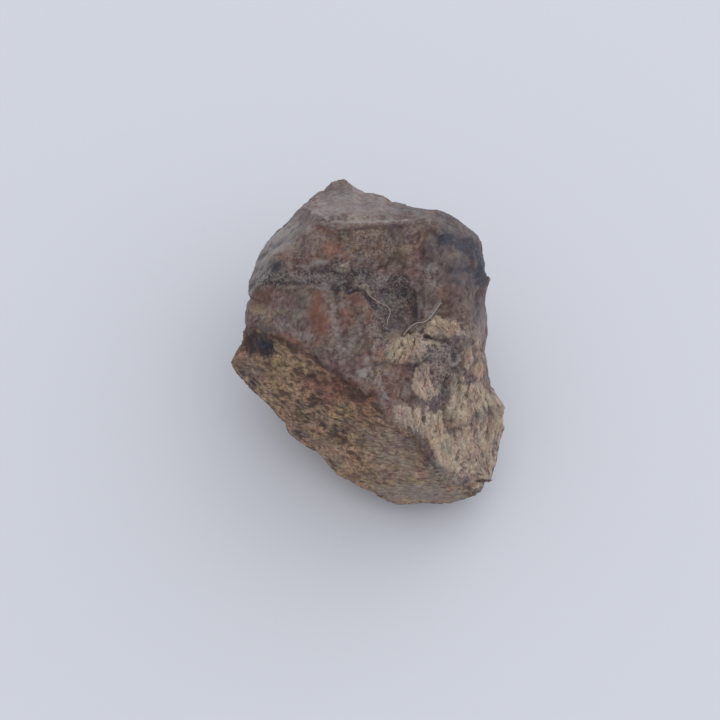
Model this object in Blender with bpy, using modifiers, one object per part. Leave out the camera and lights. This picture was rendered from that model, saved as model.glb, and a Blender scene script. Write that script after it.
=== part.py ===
"""A stony meteorite: one broken, weathered stone that rests on a small flat spot.

The frame's origin is on the ground, in the middle of the stone's outline. +Z is up, +Y runs along
the stone towards its beak, and -Y is the side of its broken wall. Tables are in millimetres.
"""

import bmesh
import bpy
import numpy as np
from mathutils import Vector, noise

MM = 0.001

# ------------------------------------------------------------------ driving dimensions

# The corners of the block as it broke, before any weathering: x, y, z.
CORNERS = {
    "beak": [(-6, 30.5, 28), (-8.5, 28, 29.5), (-4, 25.8, 29.5)],
    "far_slope": [(2, 22, 32.5), (8, 16.6, 36), (-12.6, 17.6, 35.3)],
    "brow": [(-9, 10, 43), (0, 10.5, 43.3), (9, 11.5, 43), (14, 7.5, 41.5)],
    "left_shoulder": [(-15.5, 7, 39.5), (-19.5, 5, 36.5), (-17, 15.2, 31.5), (-21.3, 10.8, 29)],
    "left_side": [(-23, 6.5, 28), (-23.5, 1.5, 29.5), (-24, -4, 27), (-22, 2, 33)],
    "left_tip": [(-26.8, -7.5, 19.5), (-25.5, -9, 18)],
    "keel": [(-18.5, -7.5, 32.5), (-11, -12, 34.5), (-6.5, -16, 34.5), (-1, -19.5, 33.5),
             (5, -24.5, 30), (11.5, -29, 23), (14.5, -30.5, 18)],
    "wall_foot": [(-21.6, -10.2, 16), (-18, -12.8, 14), (-14.8, -18, 10.5), (-9.8, -21.3, 8),
                  (-6, -25, 6.5), (-1.5, -27.5, 6), (4.5, -30, 5), (14, -29.8, 4.5)],
    "toe": [(20.8, -29, 8), (23.5, -25.5, 6.5), (24.5, -20, 8)],
    "right_lobe": [(26, -16, 11.5), (25.5, -11.5, 13.5), (20, -17.5, 23), (17, -10, 32)],
    "right_shoulder": [(21, 5.5, 29), (20.7, 9.2, 32.7), (20.1, 12, 34.2), (15.8, 14.8, 36.5),
                       (12, 15, 37.5)],
    "back": [(-6, 28, 17), (3, 26, 11), (-12, 20, 9), (12, 21, 20), (19, 17, 16)],
    "belly": [(-21, 6, 12), (-14, -4, 3), (21, 3, 7), (14, 13, 4)],
    "underside": [(-9.5, -9, 1.6), (-4, -18, 2), (8, -22, 2.2), (17, -16, 2.2),
                  (18, -2, 2.2), (12, 11, 2), (-1, 15.5, 2), (-11, 6, 1.8)],
    "flat_spot": [(-6, -5, -0.6), (-1, -12, -0.6), (7, -13, -0.6), (12, -8, -0.6),
                  (12, 1, -0.6), (7, 7, -0.6), (-1, 8, -0.6), (-6, 3, -0.6)],
}
EDGE_LOSS = 0.6  # what wear took off the corners, so the fresh block stands this much prouder

# Round hollows, as broad thumb marks and as pits: a place on the surface, the mouth and the depth.
HOLLOWS = {
    "dished_slope": ((3.5, 21.0, 34.0), 17, 1.5),
    "right_waist": ((24.3, -5.0, 19.0), 20, 3.2),
    "right_upper_waist": ((21.5, -3.5, 27), 13, 1.2),
    "deep_pit": ((4.5, -3.8, 38.4), 10.0, 2.0),
    "pit_floor": ((6.4, -5.0, 36.5), 6.0, 0.8),
    "small_pit": ((14.0, -12.0, 32.5), 4.0, 0.9),
    "keel_hollow": ((-3.5, -18.5, 31.5), 8, 0.7),
    "wall_dish": ((-5.0, -20.5, 19), 24, 1.0),
    "left_flank": ((-25.2, -0.5, 24.5), 13, 2.2),
    "left_nick": ((-23.3, 1.5, 28.5), 5.0, 0.8),
    "foot_nick": ((-16.5, -16.5, 12), 5.5, 0.8),
    "toe_chip": ((21.0, -28.0, 6.5), 7.5, 1.2),
    "lobe_dish": ((19.0, -21.0, 19), 11, 0.6),
    "back_mark": ((-1.0, 27.5, 20), 14, 2.3),
    "back_mark_right": ((14.5, 19.0, 25), 12, 2.0),
    "back_mark_low": ((6.0, 22.0, 8), 11, 1.7),
    "back_mark_left": ((-14.0, 19.5, 24), 9, 1.4),
    "left_mark": ((-21.5, 12.0, 20), 12, 1.9),
    "left_mark_low": ((-22.0, 0.0, 15), 10, 1.5),
    "right_mark": ((22.5, 8.0, 17), 13, 1.9),
    "right_mark_low": ((20.5, 0.0, 8), 9, 1.3),
    "under_mark": ((-13.0, -12.0, 7), 11, 1.5),
    "under_mark_right": ((20.0, -8.0, 6), 10, 1.0),
}

# Steps where a sheet has split away: the two ends of the lip, the drop, and how far it runs out.
STEPS = {
    "shelf": ((-24.0, 2.6, 33.0), (5.0, 0.4, 40.0), 2.0, 9.0),
    "tan_ledge": ((2.0, -15.0, 34.5), (15.0, -13.0, 32.5), 1.3, 6.0),
    "back_shelf": ((13.0, 21.0, 16.0), (-13.0, 22.0, 15.0), 1.6, 8.0),
    "side_shelf": ((24.0, -14.0, 10.0), (21.0, 8.0, 12.0), 1.2, 6.0),
}

# Long dents that run down the faces: the two ends, the width and the depth. A ridge has a depth below 0.
FLUTES = {
    "seam": ((-6.3, -1.5, 39.2), (-3.4, -13.5, 35.6), 2.2, 0.7),
    "seam_swell": ((-9.0, -3.0, 38.0), (-7.5, -10.0, 36.5), 3.0, -0.4),
    "lobe_valley": ((13.0, -13.5, 32.5), (12.5, -23.5, 26.0), 4.0, 0.8),
    "right_flute": ((11.5, 1.0, 39.5), (12.0, -6.0, 36.8), 2.5, 0.5),
    "shoulder_flute": ((-16.0, 15.0, 33.0), (-21.0, 8.0, 31.0), 2.4, 0.5),
}

# Low swellings: a place, how wide and how high.
LUMPS = {
    "right_knob": ((22.3, 5.2, 31.5), 4.5, 1.1),
    "tan_block": ((7.5, -10.8, 35.0), 8.0, 0.7),
    "brow_swell": ((-7.0, 6.5, 42.0), 9.0, 0.5),
    "beak_knob": ((-5.5, 29.5, 28.5), 5.0, 0.5),
}

# Weathering: how far the surface wanders and over what length, coarse to fine.
WEATHER = ((0.55, 9.0), (0.30, 4.0), (0.16, 2.2))

SHAPING_GRAIN = 0.9  # spacing of the points while the stone is shaped
FINISHED_GRAIN = 1.6  # spacing of the points in the finished solid
LIP_WIDTH = 0.7  # how wide a step's riser is, seen from above
LIP_WANDER = 1.5  # how far a step's lip strays from a straight line
LIP_WAVE = 5.0  # over what length it strays
RIM_WANDER = 0.35  # how far a hollow strays from a true ball


# ------------------------------------------------------------------ the block

def chipped_block():
    """The convex block that the corners span, as a mesh object."""
    corners = np.array(sum(CORNERS.values(), []), float)
    outward = corners - corners.mean(axis=0)
    corners += EDGE_LOSS * outward / np.linalg.norm(outward, axis=1, keepdims=True)
    bm = bmesh.new()
    for corner in corners:
        bm.verts.new(Vector(corner) * MM)
    hull = bmesh.ops.convex_hull(bm, input=bm.verts)
    inside = [item for item in hull["geom_interior"] if isinstance(item, bmesh.types.BMVert)]
    bmesh.ops.delete(bm, geom=inside, context="VERTS")
    mesh = bpy.data.meshes.new("meteorite")
    bm.to_mesh(mesh)
    bm.free()
    return bpy.data.objects.new("meteorite", mesh)


def evened(stone, grain, rounds):
    """Spreads the stone's points evenly, grain millimetres apart, and rounds its edges a little."""
    remesh = stone.modifiers.new("even_points", "REMESH")
    remesh.mode = "VOXEL"
    remesh.voxel_size = grain * MM
    smooth = stone.modifiers.new("worn_edges", "SMOOTH")
    smooth.factor = 0.5
    smooth.iterations = rounds
    graph = bpy.context.evaluated_depsgraph_get()
    even = bpy.data.meshes.new_from_object(stone.evaluated_get(graph))
    stone.modifiers.clear()
    stone.data = even


# ------------------------------------------------------------------ shaping

class Surface:
    """The stone's points and normals as arrays in millimetres, with a way to find a place on it."""

    def __init__(self, stone):
        self.mesh = stone.data
        count = len(self.mesh.vertices)
        self.points = np.empty(count * 3)
        self.mesh.vertices.foreach_get("co", self.points)
        self.points = self.points.reshape(-1, 3) / MM
        self.refresh()

    def refresh(self):
        """Writes the points back and reads the normals of the changed shape."""
        self.mesh.vertices.foreach_set("co", (self.points * MM).ravel())
        self.mesh.update()
        self.normals = np.empty(len(self.points) * 3)
        self.mesh.vertex_normals.foreach_get("vector", self.normals)
        self.normals = self.normals.reshape(-1, 3)

    def near(self, place, reach=3.0):
        """The surface point closest to place, and the mean normal within reach of it."""
        away = np.linalg.norm(self.points - np.array(place), axis=1)
        nearest = self.points[away.argmin()]
        normal = self.normals[away < away.min() + reach].mean(axis=0)
        return nearest, normal / np.linalg.norm(normal)


def wander(points, length, seed):
    """A smooth random height from -1 to 1 at each point, which changes over length."""
    shift = Vector((17.3, -5.1, 9.7)) * seed
    return np.array([noise.noise(Vector(p) / length + shift) for p in points])


def smooth_step(x):
    x = np.clip(x, 0.0, 1.0)
    return x * x * (3.0 - 2.0 * x)


def press_hollow(surface, place, mouth, depth):
    """Presses a ball into the surface, so deep that its mark is mouth across."""
    at, normal = surface.near(place, mouth / 3)
    radius = (mouth ** 2 / 4 + depth ** 2) / (2 * depth)
    centre = at + normal * (radius - depth)
    ray = surface.points - centre
    away = np.linalg.norm(ray, axis=1)
    inside = (away < radius) & (ray @ normal < 0)
    ragged = radius - RIM_WANDER * (1 + wander(surface.points[inside], mouth / 3, 5))
    surface.points[inside] = centre + ray[inside] * np.maximum(ragged / away[inside], 1)[:, None]
    surface.refresh()


def raise_lump(surface, place, width, height):
    """Swells the surface round a place."""
    at, _ = surface.near(place)
    away = np.linalg.norm(surface.points - at, axis=1)
    swell = height * smooth_step(1 - away / width)
    surface.points += surface.normals * swell[:, None]
    surface.refresh()


def line_along(start, end):
    """The start of a line, its direction and its length."""
    start, end = np.array(start), np.array(end)
    length = np.linalg.norm(end - start)
    return start, (end - start) / length, length


def split_step(surface, start, end, drop, run_out):
    """Lowers the surface on the right of the line from start to end, most at the lip."""
    _, normal = surface.near((np.array(start) + np.array(end)) / 2, 5.0)
    start, along, length = line_along(start, end)
    side = np.cross(along, normal)
    side /= np.linalg.norm(side)
    ray = surface.points - start
    t = ray @ along
    beyond = ray @ side + LIP_WANDER * wander(surface.points, LIP_WAVE, 3)
    on_line = smooth_step(t / 3.0) * smooth_step((length - t) / 4.0)
    riser = smooth_step(beyond / LIP_WIDTH)
    slope = np.clip(1 - beyond / run_out, 0, 1)
    facing = smooth_step((surface.normals @ normal) * 2)
    cut = drop * on_line * riser * slope * facing
    surface.points -= normal * cut[:, None]
    surface.refresh()


def cut_flute(surface, start, end, width, depth):
    """Presses a long dent between two places."""
    start, along, length = line_along(start, end)
    ray = surface.points - start
    t = np.clip(ray @ along, 0, length)
    away = np.linalg.norm(ray - t[:, None] * along, axis=1)
    dent = depth * smooth_step(1 - away / width)
    surface.points -= surface.normals * dent[:, None]
    surface.refresh()


def shaped(stone):
    """The hollows, steps, flutes and lumps that give each side its look."""
    surface = Surface(stone)
    for place, mouth, depth in HOLLOWS.values():
        press_hollow(surface, place, mouth, depth)
    for start, end, drop, run_out in STEPS.values():
        split_step(surface, start, end, drop, run_out)
    for start, end, width, depth in FLUTES.values():
        cut_flute(surface, start, end, width, depth)
    for place, width, height in LUMPS.values():
        raise_lump(surface, place, width, height)


def weathered(stone):
    """Lets the surface wander in and out, then grinds the foot flat where the stone rests."""
    surface = Surface(stone)
    for seed, (height, length) in enumerate(WEATHER):
        surface.points += surface.normals * (height * wander(surface.points, length, seed))[:, None]
    surface.points[:, 2] = np.maximum(surface.points[:, 2], 0.0)
    low, high = surface.points.min(axis=0), surface.points.max(axis=0)
    surface.points[:, :2] -= (low + high)[:2] / 2
    surface.refresh()


def stone_material():
    """Brown, satin desert varnish."""
    material = bpy.data.materials.new("varnished_stone")
    material.use_nodes = True
    shader = material.node_tree.nodes["Principled BSDF"]
    shader.inputs["Base Color"].default_value = (0.16, 0.115, 0.09, 1)
    shader.inputs["Roughness"].default_value = 0.55
    shader.inputs["Metallic"].default_value = 0.0
    return material


def main():
    for old in list(bpy.data.objects):
        bpy.data.objects.remove(old)
    stone = chipped_block()
    parts = bpy.data.collections.new("meteorite")
    bpy.context.scene.collection.children.link(parts)
    parts.objects.link(stone)
    evened(stone, SHAPING_GRAIN, 3)
    shaped(stone)
    evened(stone, FINISHED_GRAIN, 1)
    weathered(stone)
    stone.data.materials.clear()
    stone.data.materials.append(stone_material())
    stone.data.shade_smooth()


main()
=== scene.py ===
"""A weathered stony meteorite, dressed over its solid and set on a pale sheet.

Sizes in the tables are in millimetres. A place on the stone is given as it is seen from the front: how
far to the right and how far up it lies, on the plane through AIM that faces the camera.
"""
import math

import bmesh
import bpy
import numpy as np
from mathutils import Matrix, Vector, kdtree, noise
from mathutils.bvhtree import BVHTree


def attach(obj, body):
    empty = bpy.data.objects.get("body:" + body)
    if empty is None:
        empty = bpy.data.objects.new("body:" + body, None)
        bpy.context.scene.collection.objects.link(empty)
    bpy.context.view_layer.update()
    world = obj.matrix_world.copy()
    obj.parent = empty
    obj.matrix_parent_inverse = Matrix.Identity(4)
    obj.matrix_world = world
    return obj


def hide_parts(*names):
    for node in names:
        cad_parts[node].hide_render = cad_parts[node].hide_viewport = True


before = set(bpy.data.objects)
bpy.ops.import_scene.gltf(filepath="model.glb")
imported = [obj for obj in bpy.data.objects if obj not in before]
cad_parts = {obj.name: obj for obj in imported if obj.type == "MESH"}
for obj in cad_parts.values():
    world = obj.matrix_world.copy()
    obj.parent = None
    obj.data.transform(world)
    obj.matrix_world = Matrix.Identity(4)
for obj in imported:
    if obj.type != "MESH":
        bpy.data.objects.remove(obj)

bl_info = {
    "name": "Meteorite",
    "version": (1, 0, 0),
    "blender": (4, 5, 0),
    "location": "3D View > Sidebar > Meteorite",
    "description": "Dresses a weathered stony meteorite and sets its stage",
    "category": "Object",
}

MM = 0.001
NODE = "meteorite"
BODY = "root"

# The front view: the camera looks along +Y and down.
AIM = np.array([-2.0, -6.0, 20.0])
DISTANCE = 260.0
LOOK_DOWN = 62.0
LENS = 68.4
SENSOR = 36.0
BRIGHT_SIDE = (0.7, 0.5, 0.6)  # where most of the room's light comes from
WINDOW_AT = (0.55, 0.5, 0.45)  # in metres
GRAZING = 0.15  # surfaces that face the camera less than this fade from the front view


def srgb(red, green, blue):
    """A screen colour of 0 to 255 as the linear colour that Blender's sockets take."""
    def linear(level):
        level /= 255
        return level / 12.92 if level <= 0.04045 else ((level + 0.055) / 1.055) ** 2.4
    return (linear(red), linear(green), linear(blue))


# ------------------------------------------------------------------ what the stone's surface shows

# Each finish has patches: right, up, half width, half height, turn in degrees, strength. "tint" makes
# splinters paler, "sheen" makes the stone smooth, and loose crumbs lie in "crumbs".
PATCHES = {
    "tan": [
        (14.8, -6, 1.5, 1.3, 0, 0.55), (21.8, 1.2, 1.8, 2.2, 0, 0.5), (0.6, 14.2, 1, 0.5, -20, 0.5),
        (15.6, 6.2, 2.8, 1.5, -4, 0.95), (18.3, 5.4, 1.5, 1, -10, 0.65), (9.2, 2.6, 3.4, 1.9, 10, 1.2),
        (6.2, 0.9, 1.5, 1.3, 0, 0.75), (11, 1.6, 1.8, 1.4, 0, 0.75), (14.2, 3, 2.2, 0.8, -8, 0.65),
        (11.8, -3.4, 1.5, 2, 0, 1.2), (12.2, -6.4, 1.3, 1.8, -8, 1), (14.8, -2.4, 2.2, 1.8, 0, 0.42),
        (8.4, -10.2, 1.9, 1.6, -35, 0.7), (10.2, -9, 1.6, 1.6, 0, 0.5), (11.6, -11.8, 2.4, 1.9, -35, 0.9),
        (13.2, -13, 1.6, 3.4, 14, 0.8), (15.2, -13.2, 1.5, 4.6, 8, 0.95), (16.2, -18.4, 1.8, 3.4, 14, 0.75),
        (16.8, -8.6, 1.3, 3.4, -6, 0.75), (19.4, -8.6, 1.6, 3.2, 0, 0.85), (18.2, -3.6, 1.6, 2.4, 15, 0.6),
        (21.6, -5.8, 2.2, 1.8, 0, 0.9), (23.6, -8.4, 2.2, 2.6, -20, 0.7), (20.2, -12.6, 2.4, 2.6, 0, 0.85),
        (23, -13.6, 2.4, 3.2, 0, 0.7), (21.2, -18.2, 3.6, 3.8, 0, 0.95), (24.2, -17, 1.8, 4.2, 8, 0.8),
        (18.4, -20.6, 2.4, 2.2, 0, 0.75), (20.9, 0.8, 1.4, 1, 0, 0.85), (22.2, -1.9, 1.2, 1.4, 0, 1.1),
        (-0.6, 14.4, 1.1, 0.8, 0, 0.42), (-3.6, 17.5, 1.4, 0.9, 0, 0.72), (22.3, -23.7, 1.4, 1, 10, 1.4),
        (20.6, -21.8, 2.6, 1, -5, 0.8), (23.8, -0.6, 0.7, 1.6, 10, 0.4),
    ],
    "peach": [
        (6.2, -3.4, 3.2, 3, 0, 0.45), (8.6, 1.6, 3.2, 1.6, 8, 0.15), (22.4, 3.4, 1.4, 2.4, 0, 0.3),
        (21.8, 0.6, 2, 2.4, 0, 0.4), (22.2, -1.9, 1.1, 1.3, 0, 1.05), (21.4, -23.7, 1, 0.9, 10, 0.9),
        (25.4, -12.6, 1, 1.5, 0, 0.7), (-5.6, 21.4, 1.8, 1.3, -30, 0.45), (15.8, 6, 2.6, 1.4, -4, 0.55),
        (18.8, -13.2, 3, 3, 0, 0.45), (4.2, 1.2, 1.2, 1.4, 0, 0.5), (15.2, -13.4, 1.1, 3.4, 8, 0.55),
        (21.6, -17.4, 2.6, 3, 0, 0.45), (21, 0.8, 1.8, 1, 0, 0.35), (9.6, 1.4, 1.6, 1.2, 0, 0.45),
        (16.2, -18.8, 1, 2.2, 14, 0.5), (4.4, -10.6, 1.4, 0.8, 0, 0.5), (-11.4, 1, 2, 0.7, -28, 0.7),
        (-6.2, -5.2, 2.2, 1.5, -35, 0.8), (-2.6, -7, 1.6, 1, -28, 0.5),
    ],
    "rust": [
        (-10.4, 19.8, 3.2, 2.2, 20, 0.35), (5.4, -3.4, 3.2, 3, 0, 0.45), (-5.4, -5.6, 4.6, 2.6, -28, 1),
        (0.4, -7.4, 3.4, 1.6, -30, 0.9), (-12, 3.4, 3, 0.7, -14, 0.7), (-5.6, 21.4, 2, 1.6, -30, 0.95),
        (-6.8, 24.4, 2, 0.9, -20, 0.7), (-13.4, 19.8, 2.6, 1.5, 20, 0.6), (-9, 22.6, 3, 2, 20, 0.4),
        (-8, 9.6, 1.4, 2, 0, 1), (-7.4, 6.4, 1.3, 2.6, 0, 1), (-0.6, 11.4, 1.5, 1.2, 0, 0.95),
        (-1.8, 8.2, 1.6, 2.2, 0, 0.75), (1.4, 7.4, 1.2, 2, 0, 0.4), (5, -4, 2.2, 1.8, 20, 0.9),
        (6.8, -5.6, 1.2, 2.2, 0, 0.7), (-7, -5.4, 2.4, 1.8, 0, 0.85), (-10.4, -3.4, 2.4, 1.4, -20, 0.5),
        (-4.2, -3.4, 2.6, 0.8, -35, 0.6), (3.2, -9.6, 2.6, 0.9, -10, 0.9), (22.2, -2, 1, 1.3, 0, 0.75),
        (-21.8, 3.4, 0.9, 2.2, 0, 0.7), (21.3, -23.9, 0.9, 0.7, 10, 0.3), (4.3, 1.2, 1.4, 1.3, 0, 0.65),
        (3.2, -12, 2.6, 1.2, -10, 0.6), (-12.5, 2.3, 2.4, 0.8, -15, 0.7), (24.8, -12.4, 1.1, 1.6, 0, 0.6),
        (-18, 12.4, 2.6, 1.6, 0, 0.5), (2, 0.4, 2.4, 1.6, -20, 0.4), (-2, 21.4, 2.6, 1.6, 0, 0.35),
        (4, 21.4, 2, 2, 0, 0.4), (9.2, 16.6, 1.6, 1.2, 0, 0.5), (17, 13.6, 2.6, 1.8, 0, 0.4),
        (11.6, 22.6, 2, 3, 0, 0.35), (9.4, 4.8, 1.4, 0.9, 0, 0.5),
    ],
    "umber_and_shade": [
        (15.8, 5.2, 3.2, 1, 0, 0.3), (10, -7.4, 1, 0.9, 20, 0.8), (-20.6, -1.6, 2.8, 2, -30, 0.55),
        (-8, -12.4, 4, 2.4, -35, 0.18), (1, -6.6, 3, 1.2, -35, 0.2), (17.3, -11.4, 0.9, 1.5, 0, 0.95),
        (25.2, -10.2, 1.5, 1.2, 0, 0.75), (22.4, -10.6, 1.1, 0.8, 0, 0.8), (24.4, -13.2, 0.8, 0.9, 0, 0.7),
        (18.4, -9, 0.6, 1.2, 0, 0.8), (20.8, -19, 0.5, 1.2, 30, 0.5), (20.6, -12, 1.5, 0.6, 20, 0.8),
        (19, -14.4, 0.7, 1.8, 0, 0.75), (22.4, -15.4, 1, 0.7, -20, 0.65), (14.6, -8.8, 0.6, 1, 0, 0.7),
        (13.2, -11.4, 0.5, 1.2, 0, 0.7), (21.6, -6.8, 1.2, 0.5, -25, 0.7), (16.6, -16.6, 0.5, 1.6, 12, 0.7),
        (24.8, -16, 0.7, 1.2, 0, 0.55), (6.8, -1.4, 1.8, 0.6, -6, 0.8), (3.4, -0.8, 1.5, 0.5, 0, 0.7),
        (8, -2.8, 0.8, 1.4, 0, 0.8), (1.4, 3.4, 0.7, 1.4, 20, 0.6), (4.4, 6.4, 0.9, 0.7, 0, 0.6),
        (19, 12.8, 3.2, 2.6, 0, 0.4), (21, 8.4, 1.6, 2.4, 0, 0.4), (-22.8, -1.2, 2.4, 2, -30, 0.8),
        (20.2, 3.4, 0.9, 1.3, 20, 0.75), (-12.4, 10.6, 4.2, 2.6, 0, 0.3), (-18.6, 11.8, 2.4, 1.8, 30, 0.35),
        (-2, -1, 2.6, 1.6, -30, 0.5), (-10.5, 27.4, 1.6, 1.3, 40, 0.5), (-3.6, 31.6, 2.4, 1.6, 0, 0.45),
        (1, 29.4, 8, 1.8, -8, 0.52), (10, 8, 1.4, 2.4, 0, 0.4), (-1.4, -6, 3.2, 1.5, -30, 0.95),
        (2, -7.4, 1.7, 1.2, -20, 0.9), (-3.8, -2.9, 2, 0.7, -38, 0.85), (-9.9, -2.9, 1.1, 0.8, 0, 0.95),
        (-9, -8, 1.9, 0.8, 0, 0.8), (-21.4, 3.6, 1.4, 2.2, 0, 0.9), (-18.6, 5.6, 2.4, 0.8, -10, 0.8),
        (5.4, -4.8, 2.2, 2, 0, 0.55), (7.8, -5.4, 0.7, 2.6, 0, 0.8), (9, -1, 1.8, 0.7, 10, 0.7),
        (-11, -11.4, 3, 0.9, -8, 0.65), (-5, -9.8, 2.4, 1, -10, 0.5), (-5, -15, 4, 2, -30, 0.3),
        (9.6, 4.9, 1.8, 0.8, 0, 0.75), (4.8, 7, 1.3, 2.6, 0, 0.55), (-9, 1.4, 2.6, 0.6, -27, 0.45),
        (-11.4, 10.4, 2.6, 1.8, 0, 0.3), (-8.4, 8, 1.8, 3.2, 0, 0.36), (-10.6, 7, 1.4, 1.8, 0, 0.45),
        # (11.4, -17), (13.4, -20.2) and (9, -14.9) are painted shade on the wall beside the keel's right
        # end.
        (11.4, -17, 1.6, 3, 32, 0.85), (13.4, -20.2, 1.3, 1.7, 30, 0.7), (9, -14.9, 2.2, 0.8, -35, 0.75),
        (8.6, -15.2, 2.6, 1.4, -35, 0.45), (6.6, 19, 3, 1.5, 0, 0.5), (11.8, 12.2, 1.5, 2.6, 0, 0.6),
        (8.4, 17.6, 1.6, 1.2, 0, 0.5), (17.4, -0.8, 1.5, 1.3, 0, 0.5), (20, 2.6, 0.8, 1.2, -30, 0.6),
        (13, -0.4, 2.6, 0.7, 12, 0.5), (-2, 23, 3.6, 1, -6, 0.35), (6, 23.4, 2, 1.4, 0, 0.5),
        (0.8, 17.6, 3, 1.6, 0, 0.4), (14.6, 10.6, 1.6, 2.4, 0, 0.4), (17.6, 10, 2.4, 2.6, 0, 0.35),
        (-15.6, 22.6, 2.2, 1.2, 50, 0.35), (18.8, -5.6, 1, 1.4, 0, 0.5), (16.6, -5.4, 0.8, 2.2, 0, 0.6),
    ],
    "dark": [
        # The spots on the ledge band, at up 14 to 18, are partly painted shade of its step face.
        (17.9, 0.6, 0.5, 0.8, 0, 0.8), (-14.6, 15.2, 3.4, 1.1, 2, 0.5), (-9.6, 15.4, 2.8, 1.2, -4, 0.45),
        (-16.4, 17.6, 1.5, 1, 25, 1.3), (-18.4, 16, 1.4, 0.9, 20, 1.1), (-5.6, 16.2, 2.6, 1.3, 0, 0.5),
        (-2.6, 14.4, 1.4, 1.2, 0, 0.5), (0.6, 16, 2.2, 1.2, 0, 0.5), (-21, 14.2, 1, 2.4, -25, 0.7),
        (-19.2, 16, 1.2, 1.6, 0, 0.5), (4.4, 12.8, 2.2, 1.4, 10, 0.7), (7.8, 12.6, 2.2, 1.5, -30, 0.6),
        (6.4, 9.4, 2.6, 2.2, 0, 0.5), (6.6, 6.6, 2, 1.6, 0, 0.5), (6.6, 15.6, 1.8, 1, 0, 0.6),
        (20.4, 21.7, 3.4, 1.3, -16, 0.95), (22, 19.4, 1.8, 2.4, 10, 0.6), (19.8, 16.8, 2.8, 1, 0, 0.5),
        (14.8, 20.6, 1, 2.4, 0, 0.2), (19, 20, 7.5, 7, -15, 0.48), (13.6, 0.6, 2.2, 1, 12, 0.34),
        # (-12, -14.4) and (-21, -4) are painted shade along the lower left edge, where the stone curves
        # under.
        (18.1, -1.8, 1.1, 1, 0, 0.65), (-12, -14.4, 1.6, 0.7, -25, 0.8), (-21, -4, 2, 0.7, -38, 0.8),
        (22.8, 11, 1.1, 3.6, 0, 0.45), (-18.6, 2.7, 1.4, 1.8, 0, 1), (24.4, -23.1, 1.2, 0.3, 5, 0.7),
        (25, -9.5, 1.1, 1.2, 0, 0.3), (17.8, 0.9, 0.5, 0.9, 0, 0.35), (14.2, -8.4, 0.7, 1.5, 20, 0.4),
        (16, -5.6, 0.6, 1.6, 0, 0.4), (-5.2, -13.2, 2, 0.8, -10, 0.5), (20.2, -4.4, 1.4, 0.4, 10, 0.45),
        (16.9, -13.6, 1.4, 0.5, 0, 0.5), (10.8, -8, 1.5, 0.9, 0, 0.6), (20.6, -11.2, 1, 0.7, 0, 0.3),
        (12.2, 18.2, 1, 1.4, 0, 0.5), (10.6, -1.4, 1.2, 0.9, 0, 0.5), (-10.4, -8.6, 1.4, 0.5, 0, 0.5),
        (9.6, -13.6, 2.4, 1.2, -35, 0.4),
    ],
    "film_and_highlight": [
        (-10.6, 4.6, 2.4, 1, -14, 0.5), (-2.8, 2.8, 0.9, 0.8, 0, 0.4), (0.4, -2.6, 0.9, 0.8, 0, 0.6),
        (1.2, 0.1, 0.6, 0.8, -30, 0.9), (0.3, 5, 0.4, 0.3, 0, 0.9), (2.6, -3.6, 1.2, 1.8, 40, 0.3),
        (13.9, 17.6, 0.7, 1.1, 0, 0.65), (14.2, 15, 0.5, 1, 0, 0.55), (-10.6, 22.2, 4.2, 2.4, 20, 0.4),
        (-7.2, 24, 2.4, 1, -20, 0.38), (-0.3, 14.4, 1.3, 1.2, 0, 0.35), (-11.2, 15.2, 0.9, 0.6, 0, 0.7),
        (-13.6, 15.1, 0.9, 0.5, 0, 0.55), (-12, 16.5, 1.3, 0.4, -8, 0.5), (-8, 15.6, 0.9, 0.6, 0, 0.55),
        (-16.4, 15.2, 0.6, 0.5, 0, 0.5), (-6.4, 15, 0.8, 0.4, 0, 0.5), (5, 15.6, 1.2, 0.4, -24, 0.55),
        (6, 11.4, 2.6, 1.8, -10, 0.36), (1.8, 13.4, 1, 0.9, 0, 0.45), (3, 14.6, 2.4, 1.1, 0, 0.5),
        # (-0.5, 29.4) and (-17.2, 20.6) are painted sheen on the far slope and on the upper left flank.
        (13.6, 0.8, 2.4, 0.9, 8, 0.5), (-0.5, 29.4, 8, 2.4, -5, 0.34), (-17.2, 20.6, 1.6, 5.6, -38, 0.42),
        (23.4, 7, 0.7, 4, 0, 0.5), (11, -25.4, 8, 1.6, -3, 0.5), (6.6, -8.6, 0.8, 1, 0, 0.5),
        (4.6, -6.8, 0.6, 0.8, 0, 0.5), (20.6, 4.6, 0.6, 1.4, -10, 0.5), (11.6, 4, 0.7, 0.6, 0, 0.5),
    ],
    "yellow": [
        (1.2, 13, 1.8, 1.1, -20, 0.6), (12.6, -4.6, 1.4, 1.6, 0, 0.45), (5.4, -1.7, 1.2, 0.7, 0, 0.8),
        (3.2, -2.2, 1, 0.8, 0, 0.7), (2.2, 3, 0.8, 1.6, 20, 0.7), (6.4, 5, 1.4, 0.7, 0, 0.6),
        (24.6, -14.6, 1.3, 1.2, 0, 0.6), (1.6, 9.4, 0.7, 1.6, 20, 0.6), (-19.2, 9.6, 1.7, 0.6, 4, 0.85),
        (-17.9, 8.4, 0.7, 1.2, 20, 0.75), (-14.8, 9, 2.6, 0.4, 0, 0.5), (-13.5, 18, 2.2, 0.6, -12, 0.65),
        (-3.6, 17.6, 1.3, 0.8, 0, 0.6), (-11.6, 22, 2, 0.7, 24, 0.6), (3.4, 24.2, 1, 1.3, 0, 0.6),
        (2, 22, 3.6, 2.8, 0, 0.42), (-0.1, 15, 1, 0.9, 0, 0.45), (-1, 23.2, 1.2, 1.6, 0, 0.5),
        (-2.8, 22.8, 0.5, 1.8, 10, 0.55), (16.4, 13.2, 1.8, 1, 0, 0.5), (17.6, 19.8, 2.2, 1, 10, 0.55),
        (-13.4, 1.9, 2.8, 1, -16, 1), (-9.6, -0.2, 1.8, 0.8, -30, 0.9), (-7.6, -3.6, 1.8, 0.9, -30, 0.7),
        (4, 4.4, 0.9, 2.2, 15, 0.5), (2, 5.4, 0.8, 1.4, 0, 0.4), (-15, -1.6, 5, 3, -25, 0.7),
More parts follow.
